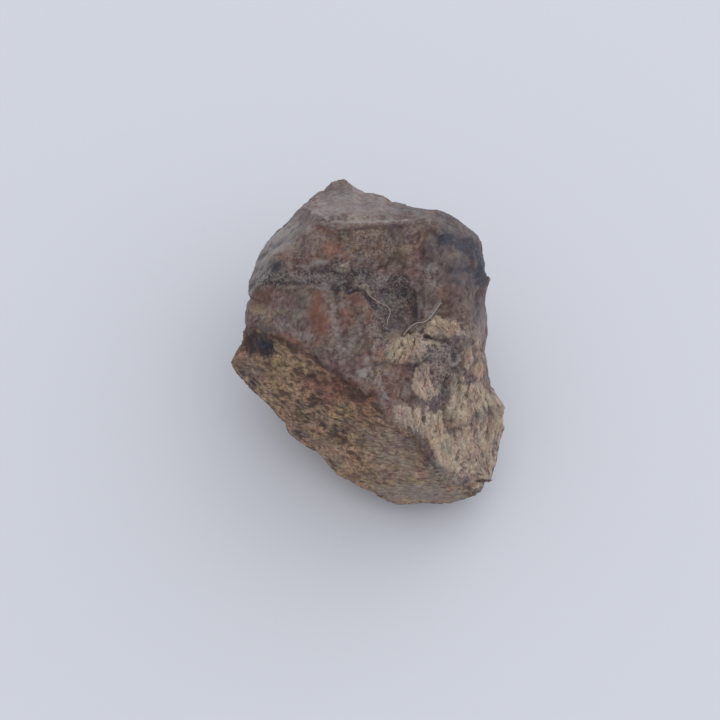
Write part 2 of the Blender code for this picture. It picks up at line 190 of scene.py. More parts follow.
        (12.4, -3.4, 0.8, 1.2, 0, 0.7), (-8, 22, 2.6, 1.8, 0, 0.35), (-23, -0.4, 1, 1.4, 0, 0.6),
        (15.6, 16.8, 1.6, 1.6, 0, 0.4), (-3.4, 11.6, 0.9, 1.2, 0, 0.6), (8.2, 20.8, 2, 1.8, 0, 0.35),
    ],
    "grey": [
        (17.9, -17, 1.2, 1.6, 0, 0.9), (25, -9, 1.4, 1.2, 0, 0.7), (11, -25.2, 8, 2.2, -3, 1),
        (3, -23.4, 4, 1.6, -28, 0.6), (1, 29.6, 6, 1.6, -8, 0.4), (6, -18, 7, 4.5, -33, 0.8),
        (14, -22, 4, 2.6, -20, 0.85), (16, -25.6, 6, 1.1, -3, 0.9), (-6, -17, 5, 2, -35, 0.55),
        (-12.5, -12.5, 2.6, 1.2, -35, 0.55), (-21.4, -1.2, 3, 1.8, -35, 0.6), (14.8, -2.8, 2.4, 2, 0, 0.75),
        (17.4, -17.4, 1.4, 2.4, 0, 0.7), (24.6, -8.8, 2, 2, 0, 0.7), (11, -8.6, 2.2, 1.4, 0, 0.65),
        (24, -4.2, 1.4, 0.5, 0, 0.7), (17.5, -22.8, 3, 1, 0, 0.6), (4.2, 14.8, 2.6, 1, 0, 0.6),
        (-1.5, 28.6, 9, 3, -4, 0.25), (21.8, 5.4, 1.4, 2.6, 0, 0.5), (21.4, -11.6, 2.2, 1.4, 20, 0.65),
        (19.4, -14.6, 1.4, 2.4, 0, 0.5), (15.4, 0.9, 2.2, 1.2, 0, 0.75), (-8.4, 15.6, 4, 0.9, 0, 1.2),
        (-14.6, 15.7, 3.4, 1.1, 0, 1.1), (-10.6, 21.4, 2.8, 1.6, 20, 0.45), (6.4, 9.6, 3, 2.6, 0, 0.62),
        (2, -14.4, 4.6, 2.2, -30, 0.35), (9.2, 14, 1.2, 1.6, 0, 0.4),
    ],
    "tint": [
        (21.3, -1.8, 1.3, 1.4, 0, 0.9), (8.6, 2.2, 3.8, 2.2, 10, 1.4), (11.9, -5, 2, 3.2, 0, 1.4),
        (14.6, -13, 1.4, 4.6, 8, 0.4), (9.6, -10.8, 2.6, 1.8, -35, 0.5), (20.5, -18, 3, 3, 0, 0.6),
        (22.3, -23.7, 1.6, 1.1, 10, 1), (21, -7, 3, 2, 0, 0.2),
    ],
    "sheen": [
        (0, 29.5, 11, 3.8, -6, 1), (-17.5, 19.5, 3, 8, -35, 1), (-13, 9, 8, 5, 0, 0.8),
        (-10.5, 26.6, 2.6, 2, 0, 0.9), (20, 21, 4.5, 6, 10, 0.6), (-1, -1, 4, 2.4, -35, 0.7),
    ],
    "crumbs": [
        (-12, 15.6, 7.5, 1.5, 2, 1), (-3, 15.6, 4.5, 2, 0, 1), (-3.6, 17.5, 1.8, 1.4, 0, 0.8),
        (15.2, -6, 1.6, 3, 0, 0.5), (4.5, -3.5, 3.2, 3, 0, 0.35), (6, -10, 2, 1.6, 0, 0.3),
        (17.4, -2.8, 1.4, 1.6, 0, 0.5), (-9, 22, 3, 2, 20, 0.2), (21, 1.5, 1.6, 2, 0, 0.25),
        (1.5, 14.2, 2.8, 1.4, -10, 1), (5.5, 14.6, 3.5, 1.6, 0, 0.8), (6.2, 10.5, 3.6, 3.6, 0, 0.5),
        (14.5, 1.4, 4, 2, 0, 0.8), (14.8, -2.6, 2.8, 2.2, 0, 1), (2.2, 22, 5, 3, 0, 0.35),
        (-12, 19, 3, 1.2, 0, 0.4), (17, -22.5, 4, 1.4, 0, 0.5), (3.4, 5, 2, 4, 0, 0.5),
    ],
}

# Each finish has many-sided areas too: strength, and the corners.
AREAS = {
    "tan": [
        (0.74, [(13, 4.8), (12.8, 6), (13.6, 7.4), (16, 7.5), (18, 6.8), (18.6, 5.2), (17.6, 4.2),
            (15.6, 3.9)]),
        (0.6, [(12.4, 3.8), (14.6, 3.5), (16.2, 2.9), (15.8, 2), (14, 1.7), (12.6, 1.9)]),
        (1.2, [(4.8, 0.8), (5, 2.6), (5.6, 4.1), (7.2, 4.5), (8.6, 4.5), (11, 3.8), (12.4, 3), (12.6, 1.2),
            (11.8, -0.2), (10, -0.6), (7.4, 0.1), (5.6, 0)]),
        (1.15, [(10.8, -2.6), (12.4, -2.2), (13.6, -4), (13.6, -6.4), (12.6, -8), (10.8, -7.6), (10, -5.6),
            (10.2, -3.8)]),
        (0.8, [(6.6, -8.6), (8.2, -8.2), (10.4, -8.8), (13.4, -9.6), (15.6, -10), (16.4, -8.4), (17, -5),
            (18, -3.8), (19.6, -4.2), (21.4, -4.2), (23.6, -4), (25, -5), (28, -8), (28, -14), (26, -22),
            (24.8, -23.2), (20.6, -22.4), (17.4, -22.2), (15.4, -20.6), (13.9, -18.6), (12.6, -16.4),
            (11, -14.2), (8.8, -13.7), (7.6, -12), (6.4, -10.4)]),
    ],
    # The first two areas are painted sheen, paler where the far slope and the upper left flank catch the
    # light.
    "bloom_and_sheen": [
        (0.32, [(-8.2, 27.7), (-8, 26.2), (-6, 26), (-4, 25.3), (-2, 25.4), (2, 25.8), (6, 25.9),
            (10, 26.1), (10.8, 26.7), (9.8, 27.6), (13, 29.5), (8, 31), (2, 34), (-3, 37), (-9, 34),
            (-13, 30), (-10.6, 28.9)]),
        (1, [(-10.6, 28.9), (-12, 26.4), (-9, 25.2), (-10.5, 23.8), (-14, 21.6), (-17.4, 19.5),
            (-20.6, 17.4), (-24, 20), (-13, 31)]),
        (0.5, [(23.6, 12.8), (24.6, 12.4), (25.2, 5), (25, 2.6), (23.8, 3.4), (23.3, 8)]),
        (0.3, [(-14.6, 7), (-9.6, 6), (-8.8, 3.6), (-12, 4), (-15.4, 5.2)]),
    ],
    "dark": [
        # The ledge band is partly painted shade on the step face under the ledge's lip, partly dark crust.
        (0.44, [(-21.4, 15.8), (-20, 16.8), (-18, 18.5), (-15.4, 18.3), (-15.2, 17), (-14, 16.3),
            (-10, 16.2), (-8.6, 17.8), (-6, 18.3), (-5.2, 17.2), (-3.2, 16.4), (-1, 16.6), (0.6, 15.8),
            (-1.6, 15.2), (-3.6, 14.2), (-4.6, 13.2), (-6, 14), (-9, 14.2), (-14, 14.3), (-18, 14.6),
            (-20, 13.2), (-22, 13)]),
        (0.54, [(2.4, 13.2), (4, 14.3), (7.4, 14.1), (9, 12.8), (9.6, 11), (7, 10.4), (4.4, 10.8),
            (3, 12)]),
        (1, [(9.7, 10.3), (10.6, 10.3), (11.2, 9.2), (11, 8), (10.2, 7.8), (9.8, 8.6)]),
        (0.48, [(15.6, 22.8), (18, 23.4), (21, 23.6), (24, 22.8), (25, 18), (25, 14.8), (21, 15.4),
            (18, 16.2), (17.4, 18), (15.6, 18.6), (14.4, 20.6)]),
        (0.52, [(3, 27.7), (7, 28.2), (12, 28), (14, 29.5), (8, 30), (6, 28.8)]),
        (0.45, [(13.8, 27.4), (17, 25.6), (21, 23.8), (24, 24), (19, 28), (15, 30)]),
        (0.6, [(-21.6, 5.2), (-19.6, 5.8), (-17.6, 5), (-16.8, 3), (-17.2, 1.1), (-19, 0.7), (-21.4, 1.4)]),
    ],
    "film_and_highlight": [
        (0.3, [(-14, 16.6), (-9, 16.2), (-6, 16.6), (-3, 15.8), (-5, 14.2), (-9, 14.8), (-14, 14.8)]),
        (1.3, [(-0.4, -2.2), (0.2, -1.6), (1, -1.9), (1.4, -2.8), (0.9, -3.4), (0, -3.2)]),
        (1.2, [(0.7, 0.6), (1.1, 0.8), (1.6, 0.1), (1.9, -0.4), (1.3, -0.5), (0.8, 0)]),
    ],
    "umber_and_shade": [
        (1.4, [(-22.2, 3.4), (-21.9, 5.8), (-20.6, 6.3), (-17.4, 5.4), (-16.6, 4.2), (-17, 2), (-18.6, 0.8),
            (-20.8, 0.8), (-21.8, 1.6)]),
    ],
}

# Each finish has streaks too: half width, strength, and the points that they run through.
STREAKS = {
    "film_and_highlight": [
        (0.2, 1.1, [(16.6, 2.9), (16.9, 1.3), (17.3, -0.3), (17.7, -1.1), (18.4, -0.6), (19.2, 0.2)]),
        (0.16, 0.9, [(17.2, 1.9), (18.4, 1.5), (19.1, 0.8)]),
        (0.45, 0.7, [(-4.8, 12.4), (-5, 10), (-5, 8), (-4.5, 6), (-4, 4.4), (-3.2, 3)]),
        # painted highlight along the ledge's lip
        (0.3, 0.85, [(-13.5, 18.2), (-12, 17.8), (-10, 17.6), (-8, 18.3), (-6, 18.7)]),
        (0.35, 0.55, [(-9.5, 14.2), (-7.5, 14.3), (-6, 13.8)]),
        (0.2, 0.7, [(2.6, 6.4), (3.1, 5.4), (3.7, 4.5), (3.6, 3.6), (3, 2.7), (2.4, 1.9), (2.6, 1)]),
        (0.13, 0.95, [(17, 2.1), (16.8, 0.6), (17.3, -0.7), (18.2, -0.8), (18.8, 0.2), (18.6, 1.5),
            (17.8, 2.2)]),
        (0.3, 0.65, [(19.8, 5), (20.4, 3.6), (21, 2.4)]),
        (0.3, 0.6, [(-10.4, -12.7), (-9.4, -12.6), (-8.5, -12.4)]),
        # painted sheen streaks on the upper left flank
        (0.25, 1.1, [(-21, 12.6), (-19.6, 14.4), (-18, 16.6), (-16.6, 18.4)]),
        (0.22, 1, [(-20.6, 15), (-19.2, 16.8), (-17.8, 18.6)]),
        (0.35, 1.25, [(-20.2, 17.9), (-17.6, 19.2), (-15.6, 20.6), (-13.4, 21.8)]),
        (0.3, 1.25, [(-19.6, 19.8), (-17.6, 21.8), (-15.4, 23.8), (-13.4, 25.8)]),
        (0.25, 1.1, [(-16.4, 22.4), (-14, 24), (-12, 26)]),
        # painted highlights along the brow and on the slope above it
        (0.3, 1.1, [(-10.4, 29), (-8.4, 27.9), (-6, 26.7), (-3, 26), (0, 26.3), (4, 26.4), (9, 26.5)]),
        (0.35, 0.5, [(-8.8, 25.9), (-6, 25.7), (-3.4, 25)]),
        (0.3, 0.45, [(-8, 29.6), (-4, 28.6), (0, 28.4), (3, 28)]),
        (0.3, 0.55, [(8.2, -3), (8.6, -5), (8.4, -7)]),
        (0.25, 0.55, [(9.4, -2.6), (9.6, -4.8), (9.2, -7.4)]),
        (0.25, 0.6, [(10.8, 11), (11.2, 9.8), (11.2, 8.4)]),
        (0.25, 0.8, [(4.5, 2.6), (5, 1.6), (4.9, 0.6)]),
        (0.25, 0.75, [(1.6, -1), (2.2, -2), (2.5, -3)]),
        (0.25, 0.7, [(6.4, -2.8), (6.9, -4.6), (6.6, -6)]),
        (0.35, 0.85, [(4.4, -5.8), (4.9, -6.8), (5.6, -7.6)]),
        (0.25, 0.7, [(3.2, -1.4), (4.4, -1.8), (5.2, -2.8)]),
        (0.25, 0.8, [(12.9, 17.2), (13.2, 15.8), (13.6, 14.4)]),
        (0.25, 0.75, [(10.8, 12.4), (11.2, 11.4), (11.4, 10.2)]),
        (0.25, 0.75, [(15.2, 11.2), (14.4, 10), (13.6, 8.8), (13, 8)]),
        (0.2, 0.95, [(3.4, -2.4), (3.9, -3.4), (3.8, -4.6)]),
        (0.2, 0.9, [(5.5, -2.6), (6.1, -3.8), (5.9, -5.2)]),
        (0.2, 0.9, [(2.4, 0.6), (3.2, 0.1), (4, -0.2)]),
        (0.2, 0.85, [(7.4, -3.4), (7.7, -4.8), (7.3, -6.4)]),
        (0.25, 0.6, [(9.6, 4.4), (8.2, 5), (7, 4.8), (6, 5.4)]),
    ],
    "rust": [
        (0.3, 0.8, [(-17.7, 4.9), (-14.1, 3.4), (-10, 0.9), (-5.7, -1.7), (-1.9, -3.7), (0, -5)]),
    ],
    "umber_and_shade": [
        (0.25, 0.9, [(3.9, -2.2), (4.5, -3.4), (4.4, -4.8)]),
        (0.22, 0.9, [(6, -2.2), (6.6, -3.8), (6.4, -5.4)]),
        (0.25, 0.8, [(2.8, -0.4), (2.6, -1.6), (3, -2.8)]),
        (0.35, 0.8, [(11.9, 14.8), (12.3, 12.4), (12.2, 9.8)]),
        (0.3, 0.7, [(10.2, 14.2), (10.3, 12.2)]),
        (0.3, 0.9, [(16.6, -13.5), (17.6, -13.8), (19, -13.2)]),
        (0.2, 0.7, [(19.6, -4.5), (20.4, -4.4), (21.2, -4.2)]),
        (0.3, 0.8, [(3, -0.7), (4.8, -0.6), (6.6, -1), (8.4, -1.2), (10.4, -1.4)]),
        (0.25, 0.7, [(13.4, -8), (13.8, -9.4), (13.2, -11), (13.2, -12.8)]),
        (0.25, 0.7, [(16.2, -6.4), (16, -8.4), (16.4, -10.2)]),
        (0.3, 0.62, [(-8, 25.5), (-6, 25.2), (-4, 24.6), (-2, 24.7), (2, 25.1), (6, 25.2), (10, 25.5)]),
        (0.3, 1.1, [(-17.7, 5), (-14.1, 3.6), (-10, 1), (-5.7, -1.5), (-1.9, -3.5)]),
    ],
    "dark": [
        (0.13, 0.8, [(12.4, 4.6), (14, 4.1), (15.4, 3.8), (16.4, 3.6), (17, 3.1)]),
        (0.35, 0.9, [(-2, 12.8), (-0.6, 13.3), (0.8, 12.6), (1.8, 11.4), (2.8, 10)]),
        (0.3, 0.7, [(-18.4, 14.6), (-15, 14.5), (-12, 14.3), (-9.4, 14.6)]),
        (0.28, 1, [(-19.2, 19.2), (-16.8, 21), (-14.6, 22.6)]),
        (1.35, 1.2, [(15.9, 23.2), (17.6, 22.7), (19.4, 22), (21.4, 21), (22.6, 19.4), (23.2, 17.4),
            (23.3, 15.2)]),
        (1.1, 0.72, [(16.8, 17.3), (18.4, 17), (20.2, 17.2), (22.2, 17), (23.6, 16)]),
        (0.6, 0.25, [(14.6, 21.4), (15, 20.2), (15.2, 19)]),
        (0.25, 1, [(-20.4, 17), (-18.4, 18.3), (-16.4, 19.3)]),
        (0.25, 0.8, [(-17.8, 22.4), (-15.6, 24.6), (-13.6, 26.6)]),
        # painted shade along the keel's right end
        (0.25, 0.6, [(12, -16), (13.4, -19), (14.6, -21.2)]),
    ],
}

# The stone's outline as it is seen from the front, turning anticlockwise from the right.
CENTRE = (1.5, 3)
OUTLINE = [
    (24.1, 0), (23.7, 1.6), (23.9, 3), (24.3, 5), (24.2, 8), (24, 9.6), (23.8, 11), (24, 12.6),
    (24.5, 14.4), (24.8, 15.4), (24.3, 16.1), (23.8, 16.8), (23.7, 18), (23.5, 20), (23.2, 22),
    (22.4, 23.7), (21.4, 24.6), (20, 25.6), (18.5, 26.8), (16.5, 28), (14.6, 28.6), (12.2, 28.7),
    (9.9, 29.1), (8, 29.8), (6, 30.2), (4.4, 31.2), (2.6, 31.7), (1, 31.9), (-0.4, 32.5), (-1.4, 33.4),
    (-2.6, 34.2), (-3.2, 34.4), (-4, 34.2), (-5.4, 33.9), (-6, 33.3), (-6.8, 32.4), (-8.2, 31.8),
    (-9, 31.2), (-10, 30.2), (-12, 28.4), (-14, 26), (-16, 24.4), (-18, 22), (-19.2, 20), (-19.8, 18.6),
    (-20.4, 16.6), (-21.1, 15), (-21.2, 14), (-21.2, 12.4), (-20.9, 11.9), (-21.5, 10.6), (-21.8, 9),
    (-21.9, 7.4), (-21.7, 6.4), (-22.2, 5.4), (-22.3, 4), (-22.7, 3), (-23.6, 1.4), (-24.2, 0.4),
    (-24.5, -0.4), (-24.2, -1.4), (-23.6, -2.4), (-22, -4.2), (-20.4, -6), (-18.4, -7.6), (-17, -9),
    (-15.4, -11), (-14.2, -12), (-14, -12.8), (-13.6, -13.8), (-12, -15.2), (-10, -16.6), (-8, -17.6),
    (-7.4, -18.2), (-6, -20), (-4.4, -21.8), (-2, -23), (0, -24.2), (2.4, -25.2), (3.8, -26.2), (5.5, -27),
    (7, -27.5), (9, -27.4), (12, -27.2), (15, -27.4), (17.5, -27.2), (20, -26.4), (21.8, -25.8),
    (22.9, -25), (23.5, -24.1), (23.8, -23.4), (24.4, -23.2), (24.9, -22.9), (25.1, -22.2), (25.4, -21),
    (26, -19.5), (26.4, -17), (26.8, -15), (27.5, -12.8), (27.2, -11), (27.5, -9), (27.1, -8), (25.9, -6.4),
    (25, -4.6), (24.5, -3), (24.3, -1.4),
]

# The edge between the stone's top and its broken wall, from the left to the toe.
KEEL = [
    (-26, 5.6), (-22, 5.6), (-20, 6), (-16.5, 5), (-12, 3), (-9, 1.5), (-7, -1), (-5, -2.3), (-2.5, -4),
    (0, -5), (2, -6.5), (4, -8.6), (6.5, -11), (8.5, -12.6), (10.5, -14), (12, -16.5), (13.5, -19),
    (14.6, -21.2), (17, -23.2), (20.5, -24.6), (27, -26.5),
]

# Sharp ridges: half width, height, and the points that they run through.
RIDGES = {
    "keel_left": (1.4, 0.45, KEEL[1:8]),
    "keel_middle": (1.1, 0.35, KEEL[7:12]),
    "keel_right": (1.2, 0.5, KEEL[11:17]),
    "brow": (0.7, 0.62, [(-8.4, 26.1), (-6, 25.9), (-4, 25.3), (-2, 25.4), (2, 25.8), (6, 25.9), (10, 26.2),
        (12, 27)]),
    "left_edge": (1, 0.5, [(-8.4, 26), (-10.5, 23.9), (-14, 21.6), (-17.4, 19.6), (-20, 17.4)]),
    "mauve_facet": (0.7, 0.35, [(-11.8, 26.8), (-10.6, 28.8), (-8.2, 27.7), (-8.2, 26.2)]),
    "flank_streak": (0.6, 0.25, [(-20.4, 18.2), (-17.6, 19.8), (-15.6, 21), (-13.4, 22.2)]),
    "flank_edge": (0.6, 0.25, [(-18.8, 20.6), (-16.6, 22.6), (-14.6, 24.6), (-13, 26.4)]),
    "ledge_lip": (0.8, 0.45, [(-16, 19), (-14, 18.6), (-12, 18), (-10, 17.8), (-8, 18.4), (-6, 18.7),
        (-4, 18.9)]),
    "lower_lip": (0.6, 0.18, [(-18.4, 14), (-14, 13.9), (-9, 13.9), (-7, 13.8), (-5.4, 12.8)]),
    "rusty_crest": (0.8, 0.4, [(-2, 12.4), (-0.4, 12.7), (0.8, 11.8), (1.8, 10.6), (3, 9)]),
    "pit_rim": (0.9, 0.18, [(11.3, 12), (11.6, 9.6), (11.2, 7.4), (9.4, 6)]),
    "toe_lip": (0.6, 0.35, [(20, -22.6), (22, -22.4), (24.4, -22.8)]),
}

# Cracks and grooves, in the same way, with the depth in place of the height.
GROOVES = {
    "tan_crack": (0.22, 0.45, [(12.4, 4.4), (14, 4), (15.4, 3.7), (16.4, 3.5), (17, 3)]),
    "seam": (0.7, 0.4, [(-4.6, 12.6), (-4.9, 10), (-4.9, 8), (-4.4, 6), (-3.9, 4.4), (-3.2, 3)]),
    "ledge_foot": (1, 0.32, [(-19, 16.8), (-16, 17.6), (-13, 17), (-10, 16.6), (-7, 17.2), (-5.4, 16.4),
        (-2, 16.4)]),
    "band_foot": (0.6, 0.3, [(-18.4, 14.7), (-15, 14.7), (-12, 14.5), (-9, 14.8), (-6.6, 14.8),
        (-4.6, 13.4)]),
    "crest_foot": (0.6, 0.2, [(-2.2, 13.2), (-0.6, 13.5), (0.9, 12.8), (2, 11.6), (3, 10.2)]),
    "crescent": (0.8, 0.3, [(9.2, 11.6), (10, 10.4), (10.2, 9), (9.8, 7.6)]),
    "flute_left": (0.5, 0.25, [(11.6, 14.4), (11.9, 12), (12, 9.6)]),
    "flute_right": (0.5, 0.25, [(13, 14.6), (13.2, 12), (13, 10)]),
    "loop": (0.6, 0.35, [(17.8, 1.8), (17.8, 0)]),
    "toe_crack": (0.4, 0.7, [(22.4, -23), (23.6, -23.2), (25, -23.2)]),
    "stain_groove": (0.8, 0.3, [(16, -0.6), (13.4, 0.4), (11, -1.4)]),
    "block_gap": (0.5, 0.4, [(16.4, -3), (15.8, -6), (16, -9.4), (16.6, -12.6)]),
    "block_gap_right": (0.5, 0.35, [(19.2, -4.4), (18.8, -7), (18.4, -9.4)]),
    "stepped_gap": (0.5, 0.35, [(17, -13.2), (19, -13), (21, -12.4)]),
}

# Blocks that stand proud and beds that lie low: right, up, half width, half height, turn, height.
BLOCKS = {
    "upper_tan_block": (15.8, 6, 3, 1.8, 0, 0.3), "tan_block": (9, 2.5, 3.6, 2, 8, 0.35),
    "lower_tan_block": (11.8, -4.6, 1.9, 3.3, -8, 0.35), "knob": (-3.6, 17.5, 1.5, 1, 0, 0.55),
    "rusty_block": (-0.8, 9.4, 2.4, 3.2, 0, 0.3), "crumb": (-0.2, 14.8, 1.2, 1.1, 0, 0.3),
    "white_chip": (0.4, -2.6, 0.9, 0.8, 0, 0.18), "small_white_chip": (1.2, 0.1, 0.6, 0.8, -30, 0.15),
    "pit_bed": (6.2, 10.5, 3.6, 3.6, 0, -0.2), "dark_spot": (-19.4, 3, 2.4, 2.4, 0, -0.45),
    "toe_chip": (22.2, -24, 1.8, 1.1, 10, -0.4), "right_block": (19.4, -11, 1.6, 2, 0, 0.3),
    "salmon_block": (22.2, -2, 1, 1.4, 0, 0.25), "splinter_bank": (14.4, -14.6, 1.6, 5, 10, 0.3),
    "stained_bed": (13.4, 0.6, 2.2, 1.1, 10, -0.3),
}

# How the grain of the stone runs, as seen from the front: right, up, the angle in degrees and how far.
LIES = [
    (-2, 29, -4, 2.6), (5, 28, 0, 2.6), (-8, 31, -20, 2.2), (-16, 22.5, 46, 2.2), (-19.5, 16.5, 50, 2),
    (-12, 25.5, 50, 2), (-12, 17, -6, 0.9), (-8, 15.4, 0, 0.8), (-16, 15.4, 6, 0.8), (-14, 10, -10, 0.6),
    (-5, 8, -84, 1.2), (-6, 22, -55, 0.6), (3, 22, 50, 0.5), (-1, 9, 70, 0.6), (3, 4, 75, 1),
    (12, 11, 88, 1.6), (6, 11, -20, 0.6), (14, 18, 75, 0.8), (20, 20, 10, 0.6), (20, 10, 80, 0.9),
    (4, -2, -70, 0.9), (8, -5, 86, 1.4), (-2, -2, -35, 0.7), (-14, -4, -4, 0.45), (-20, 0, -20, 0.45),
    (-4, -8, -10, 0.45), (-8, -14, -8, 0.7), (2, -14, -6, 0.6), (4, -20, -4, 0.6), (10, -18, -12, 0.6),
    (10, -25, -3, 1), (18, -25, 2, 0.7), (-19, 3, 80, 0.5), (6, 1.2, -135, 1.1), (8.6, 2, -110, 1.2),
    (10.6, 3.4, -60, 1), (13, 3.4, -15, 1), (15.6, 6.4, -20, 1), (18.4, 4.6, -50, 1),
    (11.2, -2.6, -80, 1.2), (12.4, -6.4, -100, 1.2), (8.2, -10, -75, 1.2), (11.6, -12, -80, 1.3),
    (14.6, -12, -84, 1.6), (15.6, -17.4, -68, 1.5), (17.2, -8, -98, 1.4), (20, -5.6, -120, 1.2),
    (22.8, -7.6, -35, 1), (20.2, -12.2, -70, 1.1), (23.4, -14.2, -60, 0.9), (21, -18.6, -40, 0.9),
    (22, -23.6, -15, 0.6),
]
WALL_FACING = (-0.53, -0.8, 0.2)  # which way the broken wall looks
WALL_TURN = (0, -31, -26)  # turns X along the wall's grain, in degrees

# Lint threads: the places that each runs through, and how thick and how high above the stone they are.
THREADS = {
    "thread_long": [(1.2, 13.2), (1.9, 12.2), (3, 11.3), (4.2, 10.6), (5.1, 10.1), (5.6, 9.4), (5.6, 8.5),
        (5.2, 7.5), (5.1, 6.6)],
    "thread_short": [(8.3, 4.7), (9, 5.6), (10, 6.5), (11, 7), (12.1, 7.2), (13.1, 8), (14, 9.1),
        (14.7, 10.1), (15.4, 11)],
}
THREAD_RADIUS = 0.085
THREAD_LIFT = 0.12

# Finishes of the sides that are hidden from the front: how broad the patches are, how rare they are from
# -1 to 1, strength, and a seed.
HIDDEN = {
    "tan": [(9, 0.46, 0.95, 51)], "rust": [(6, 0.3, 0.55, 53)], "umber_and_shade": [(5, 0.3, 0.6, 55)],
    "dark": [(10, 0.28, 0.55, 56), (3, 0.48, 0.35, 57)], "film_and_highlight": [(3.6, 0.42, 0.55, 58)],
    "yellow": [(4.5, 0.34, 0.6, 59)], "grey": [(8, 0.3, 0.6, 60)], "sheen": [(12, 0, 1, 61)],
    "bloom_and_sheen": [(13, 0.04, 0.75, 62)], "crumbs": [(6, 0.48, 0.8, 63)],
}

# How soft and how ragged each finish's border is, in millimetres.
FINISHES = {
    "tan": (0.8, 2.3), "peach": (1.4, 1.6), "rust": (1.8, 1.6), "umber_and_shade": (1.2, 1.5), "dark": (1.1, 1.5),
    "film_and_highlight": (0.5, 1.1), "yellow": (1, 1.8), "grey": (1.6, 1.8), "sheen": (1.4, 1.2), "bloom_and_sheen": (0.45, 0.9),
    "tint": (1, 1), "crumbs": (0.8, 1.2),
}


# ------------------------------------------------------------------ settings

def size(name, description, default):
    """A length property, whose default is given in millimetres."""
    return bpy.props.FloatProperty(
        name=name, description=description, default=default * MM, unit="LENGTH", precision=5)


def power(name, description, default, unit="NONE"):
    return bpy.props.FloatProperty(name=name, description=description, default=default, unit=unit, min=0)


def colour(name, description, red, green, blue):
    return bpy.props.FloatVectorProperty(
        name=name, description=description, default=srgb(red, green, blue), subtype="COLOR", min=0, max=1)


class StoneSettings(bpy.types.PropertyGroup):
    """Sizes and colours of the stone."""
    point_spacing: size("Point spacing", "Distance between the points of the fine surface", 0.36)
    shard: size("Shard size", "Size of the splinters on a fresh break", 1.5)
    grain: size("Grain size", "Size of the grains in the broken wall", 0.9)
    varnish_dark: colour("Varnish, dark", "Brown desert varnish where it is thick", 76, 58, 59)
    varnish_light: colour("Varnish, light", "Brown desert varnish where it is thin", 136, 114, 110)
    # Grey bloom, and also the painted sheen on the far slope and the upper left flank.
    bloom_and_sheen: colour("Veil", "Grey bloom on the varnish", 120, 110, 111)
    wall_light: colour("Wall, light", "Tan ground of the broken wall", 220, 181, 144)
    wall_dark: colour("Wall, dark", "Brown specks of the broken wall", 70, 48, 40)
    wall_stain: colour("Wall, stain", "Brown stain over the broken wall", 118, 92, 78)
    tan_light: colour("Fresh break, light", "Pale splinters", 230, 205, 179)
    tan_dark: colour("Fresh break, dark", "Stained gaps between the splinters", 112, 92, 82)
    peach: colour("Fresh break, peach", "Iron blush on the pale splinters", 180, 142, 122)
    rust: colour("Rust", "Orange iron stain", 138, 84, 66)
    # Red-brown stain, and also painted shade on the wall beside the keel's right end.
    umber_and_shade: colour("Umber", "Deep red-brown iron stain", 66, 40, 38)
    # Blue-black crust, and also painted shade on the ledge's step face, along the keel's right end and along
    # the lower left edge.
    dark: colour("Crust", "Blue-black remains of the crust", 46, 47, 62)
    # Pale lime coating, and also painted highlights along the brow and the ledge's lip, and painted sheen
    # streaks on the slope and the flank.
    film_and_highlight: colour("Film", "Pale grey lime film", 162, 152, 148)
    yellow: colour("Clay", "Yellow clay in the hollows", 166, 143, 114)
    grey: colour("Grey", "Grey granular bloom", 150, 143, 133)
    splinter: size("Splinter length", "Length of the loose splinters on a fresh break", 2)
    crumb: size("Crumb size", "Size of the crumbs along the ledge", 0.5)


class StageSettings(bpy.types.PropertyGroup):
    """The sheet and the lights."""
    sheet: colour("Sheet", "Pale sheet under the stone", 225, 226, 234)
    sheet_size: size("Sheet size", "Length of the sheet's side", 4000)
    sky_bright: power("Room light, bright side", "Strength of the room's light on its bright side", 1.2)
    sky_dim: power("Room light, dim side", "Strength of the room's light on its dim side", 0.5)
    lamp_power: power("Window light", "Power of the wide soft light behind the stone", 0.53, "POWER")


# ------------------------------------------------------------------ places as seen from the front

ANGLE = math.radians(LOOK_DOWN)
RIGHT = np.array([1.0, 0.0, 0.0])
UP = np.array([0.0, math.sin(ANGLE), math.cos(ANGLE)])
TOWARDS = np.array([0.0, -math.cos(ANGLE), math.sin(ANGLE)])
EYE = AIM + DISTANCE * TOWARDS


def seen_from_front(points):
    """Right, up and depth of each point, as it is seen from the front."""
    ray = points - AIM
    depth = ray @ TOWARDS
    nearer = DISTANCE / (DISTANCE - depth)
    return ray @ RIGHT * nearer, ray @ UP * nearer, depth


def place(tree, right, up):
    """The point and normal of the surface at a place that is seen from the front."""
    ray = Vector(AIM + right * RIGHT + up * UP - EYE).normalized()
    point, normal, _, _ = tree.ray_cast(Vector(EYE), ray)
    if point is None:
        raise RuntimeError(f"nothing is seen at {right}, {up}")
    return np.array(point), np.array(normal)


def smooth_step(x):
    x = np.clip(x, 0.0, 1.0)
    return x * x * (3.0 - 2.0 * x)


def wander(points, length, seed):
    """A smooth random height from -1 to 1 at each point, which changes over length."""
    shift = Vector((17.3, -5.1, 9.7)) * seed
    return np.array([noise.noise(Vector(p) / length + shift) for p in points])


def shards(points, length, stretch, tilt, step, seed):
    """Heights of small tilted flakes. Each is length across, drawn out by stretch."""
    rng = np.random.default_rng(seed)
    squeezed = points / np.asarray(stretch)
    low, high = squeezed.min(axis=0), squeezed.max(axis=0)
    count = int(np.prod((high - low) / length))
    seeds = rng.uniform(low, high, (count, 3))
    tree = kdtree.KDTree(count)
    for index, seed_point in enumerate(seeds):
        tree.insert(seed_point, index)
    tree.balance()
    nearest = np.array([tree.find(p)[1] for p in squeezed])
    tilts = rng.normal(0, tilt, (count, 3))
    steps = rng.uniform(-step, step, count)
    return ((squeezed - seeds[nearest]) * tilts[nearest]).sum(axis=1) + steps[nearest]


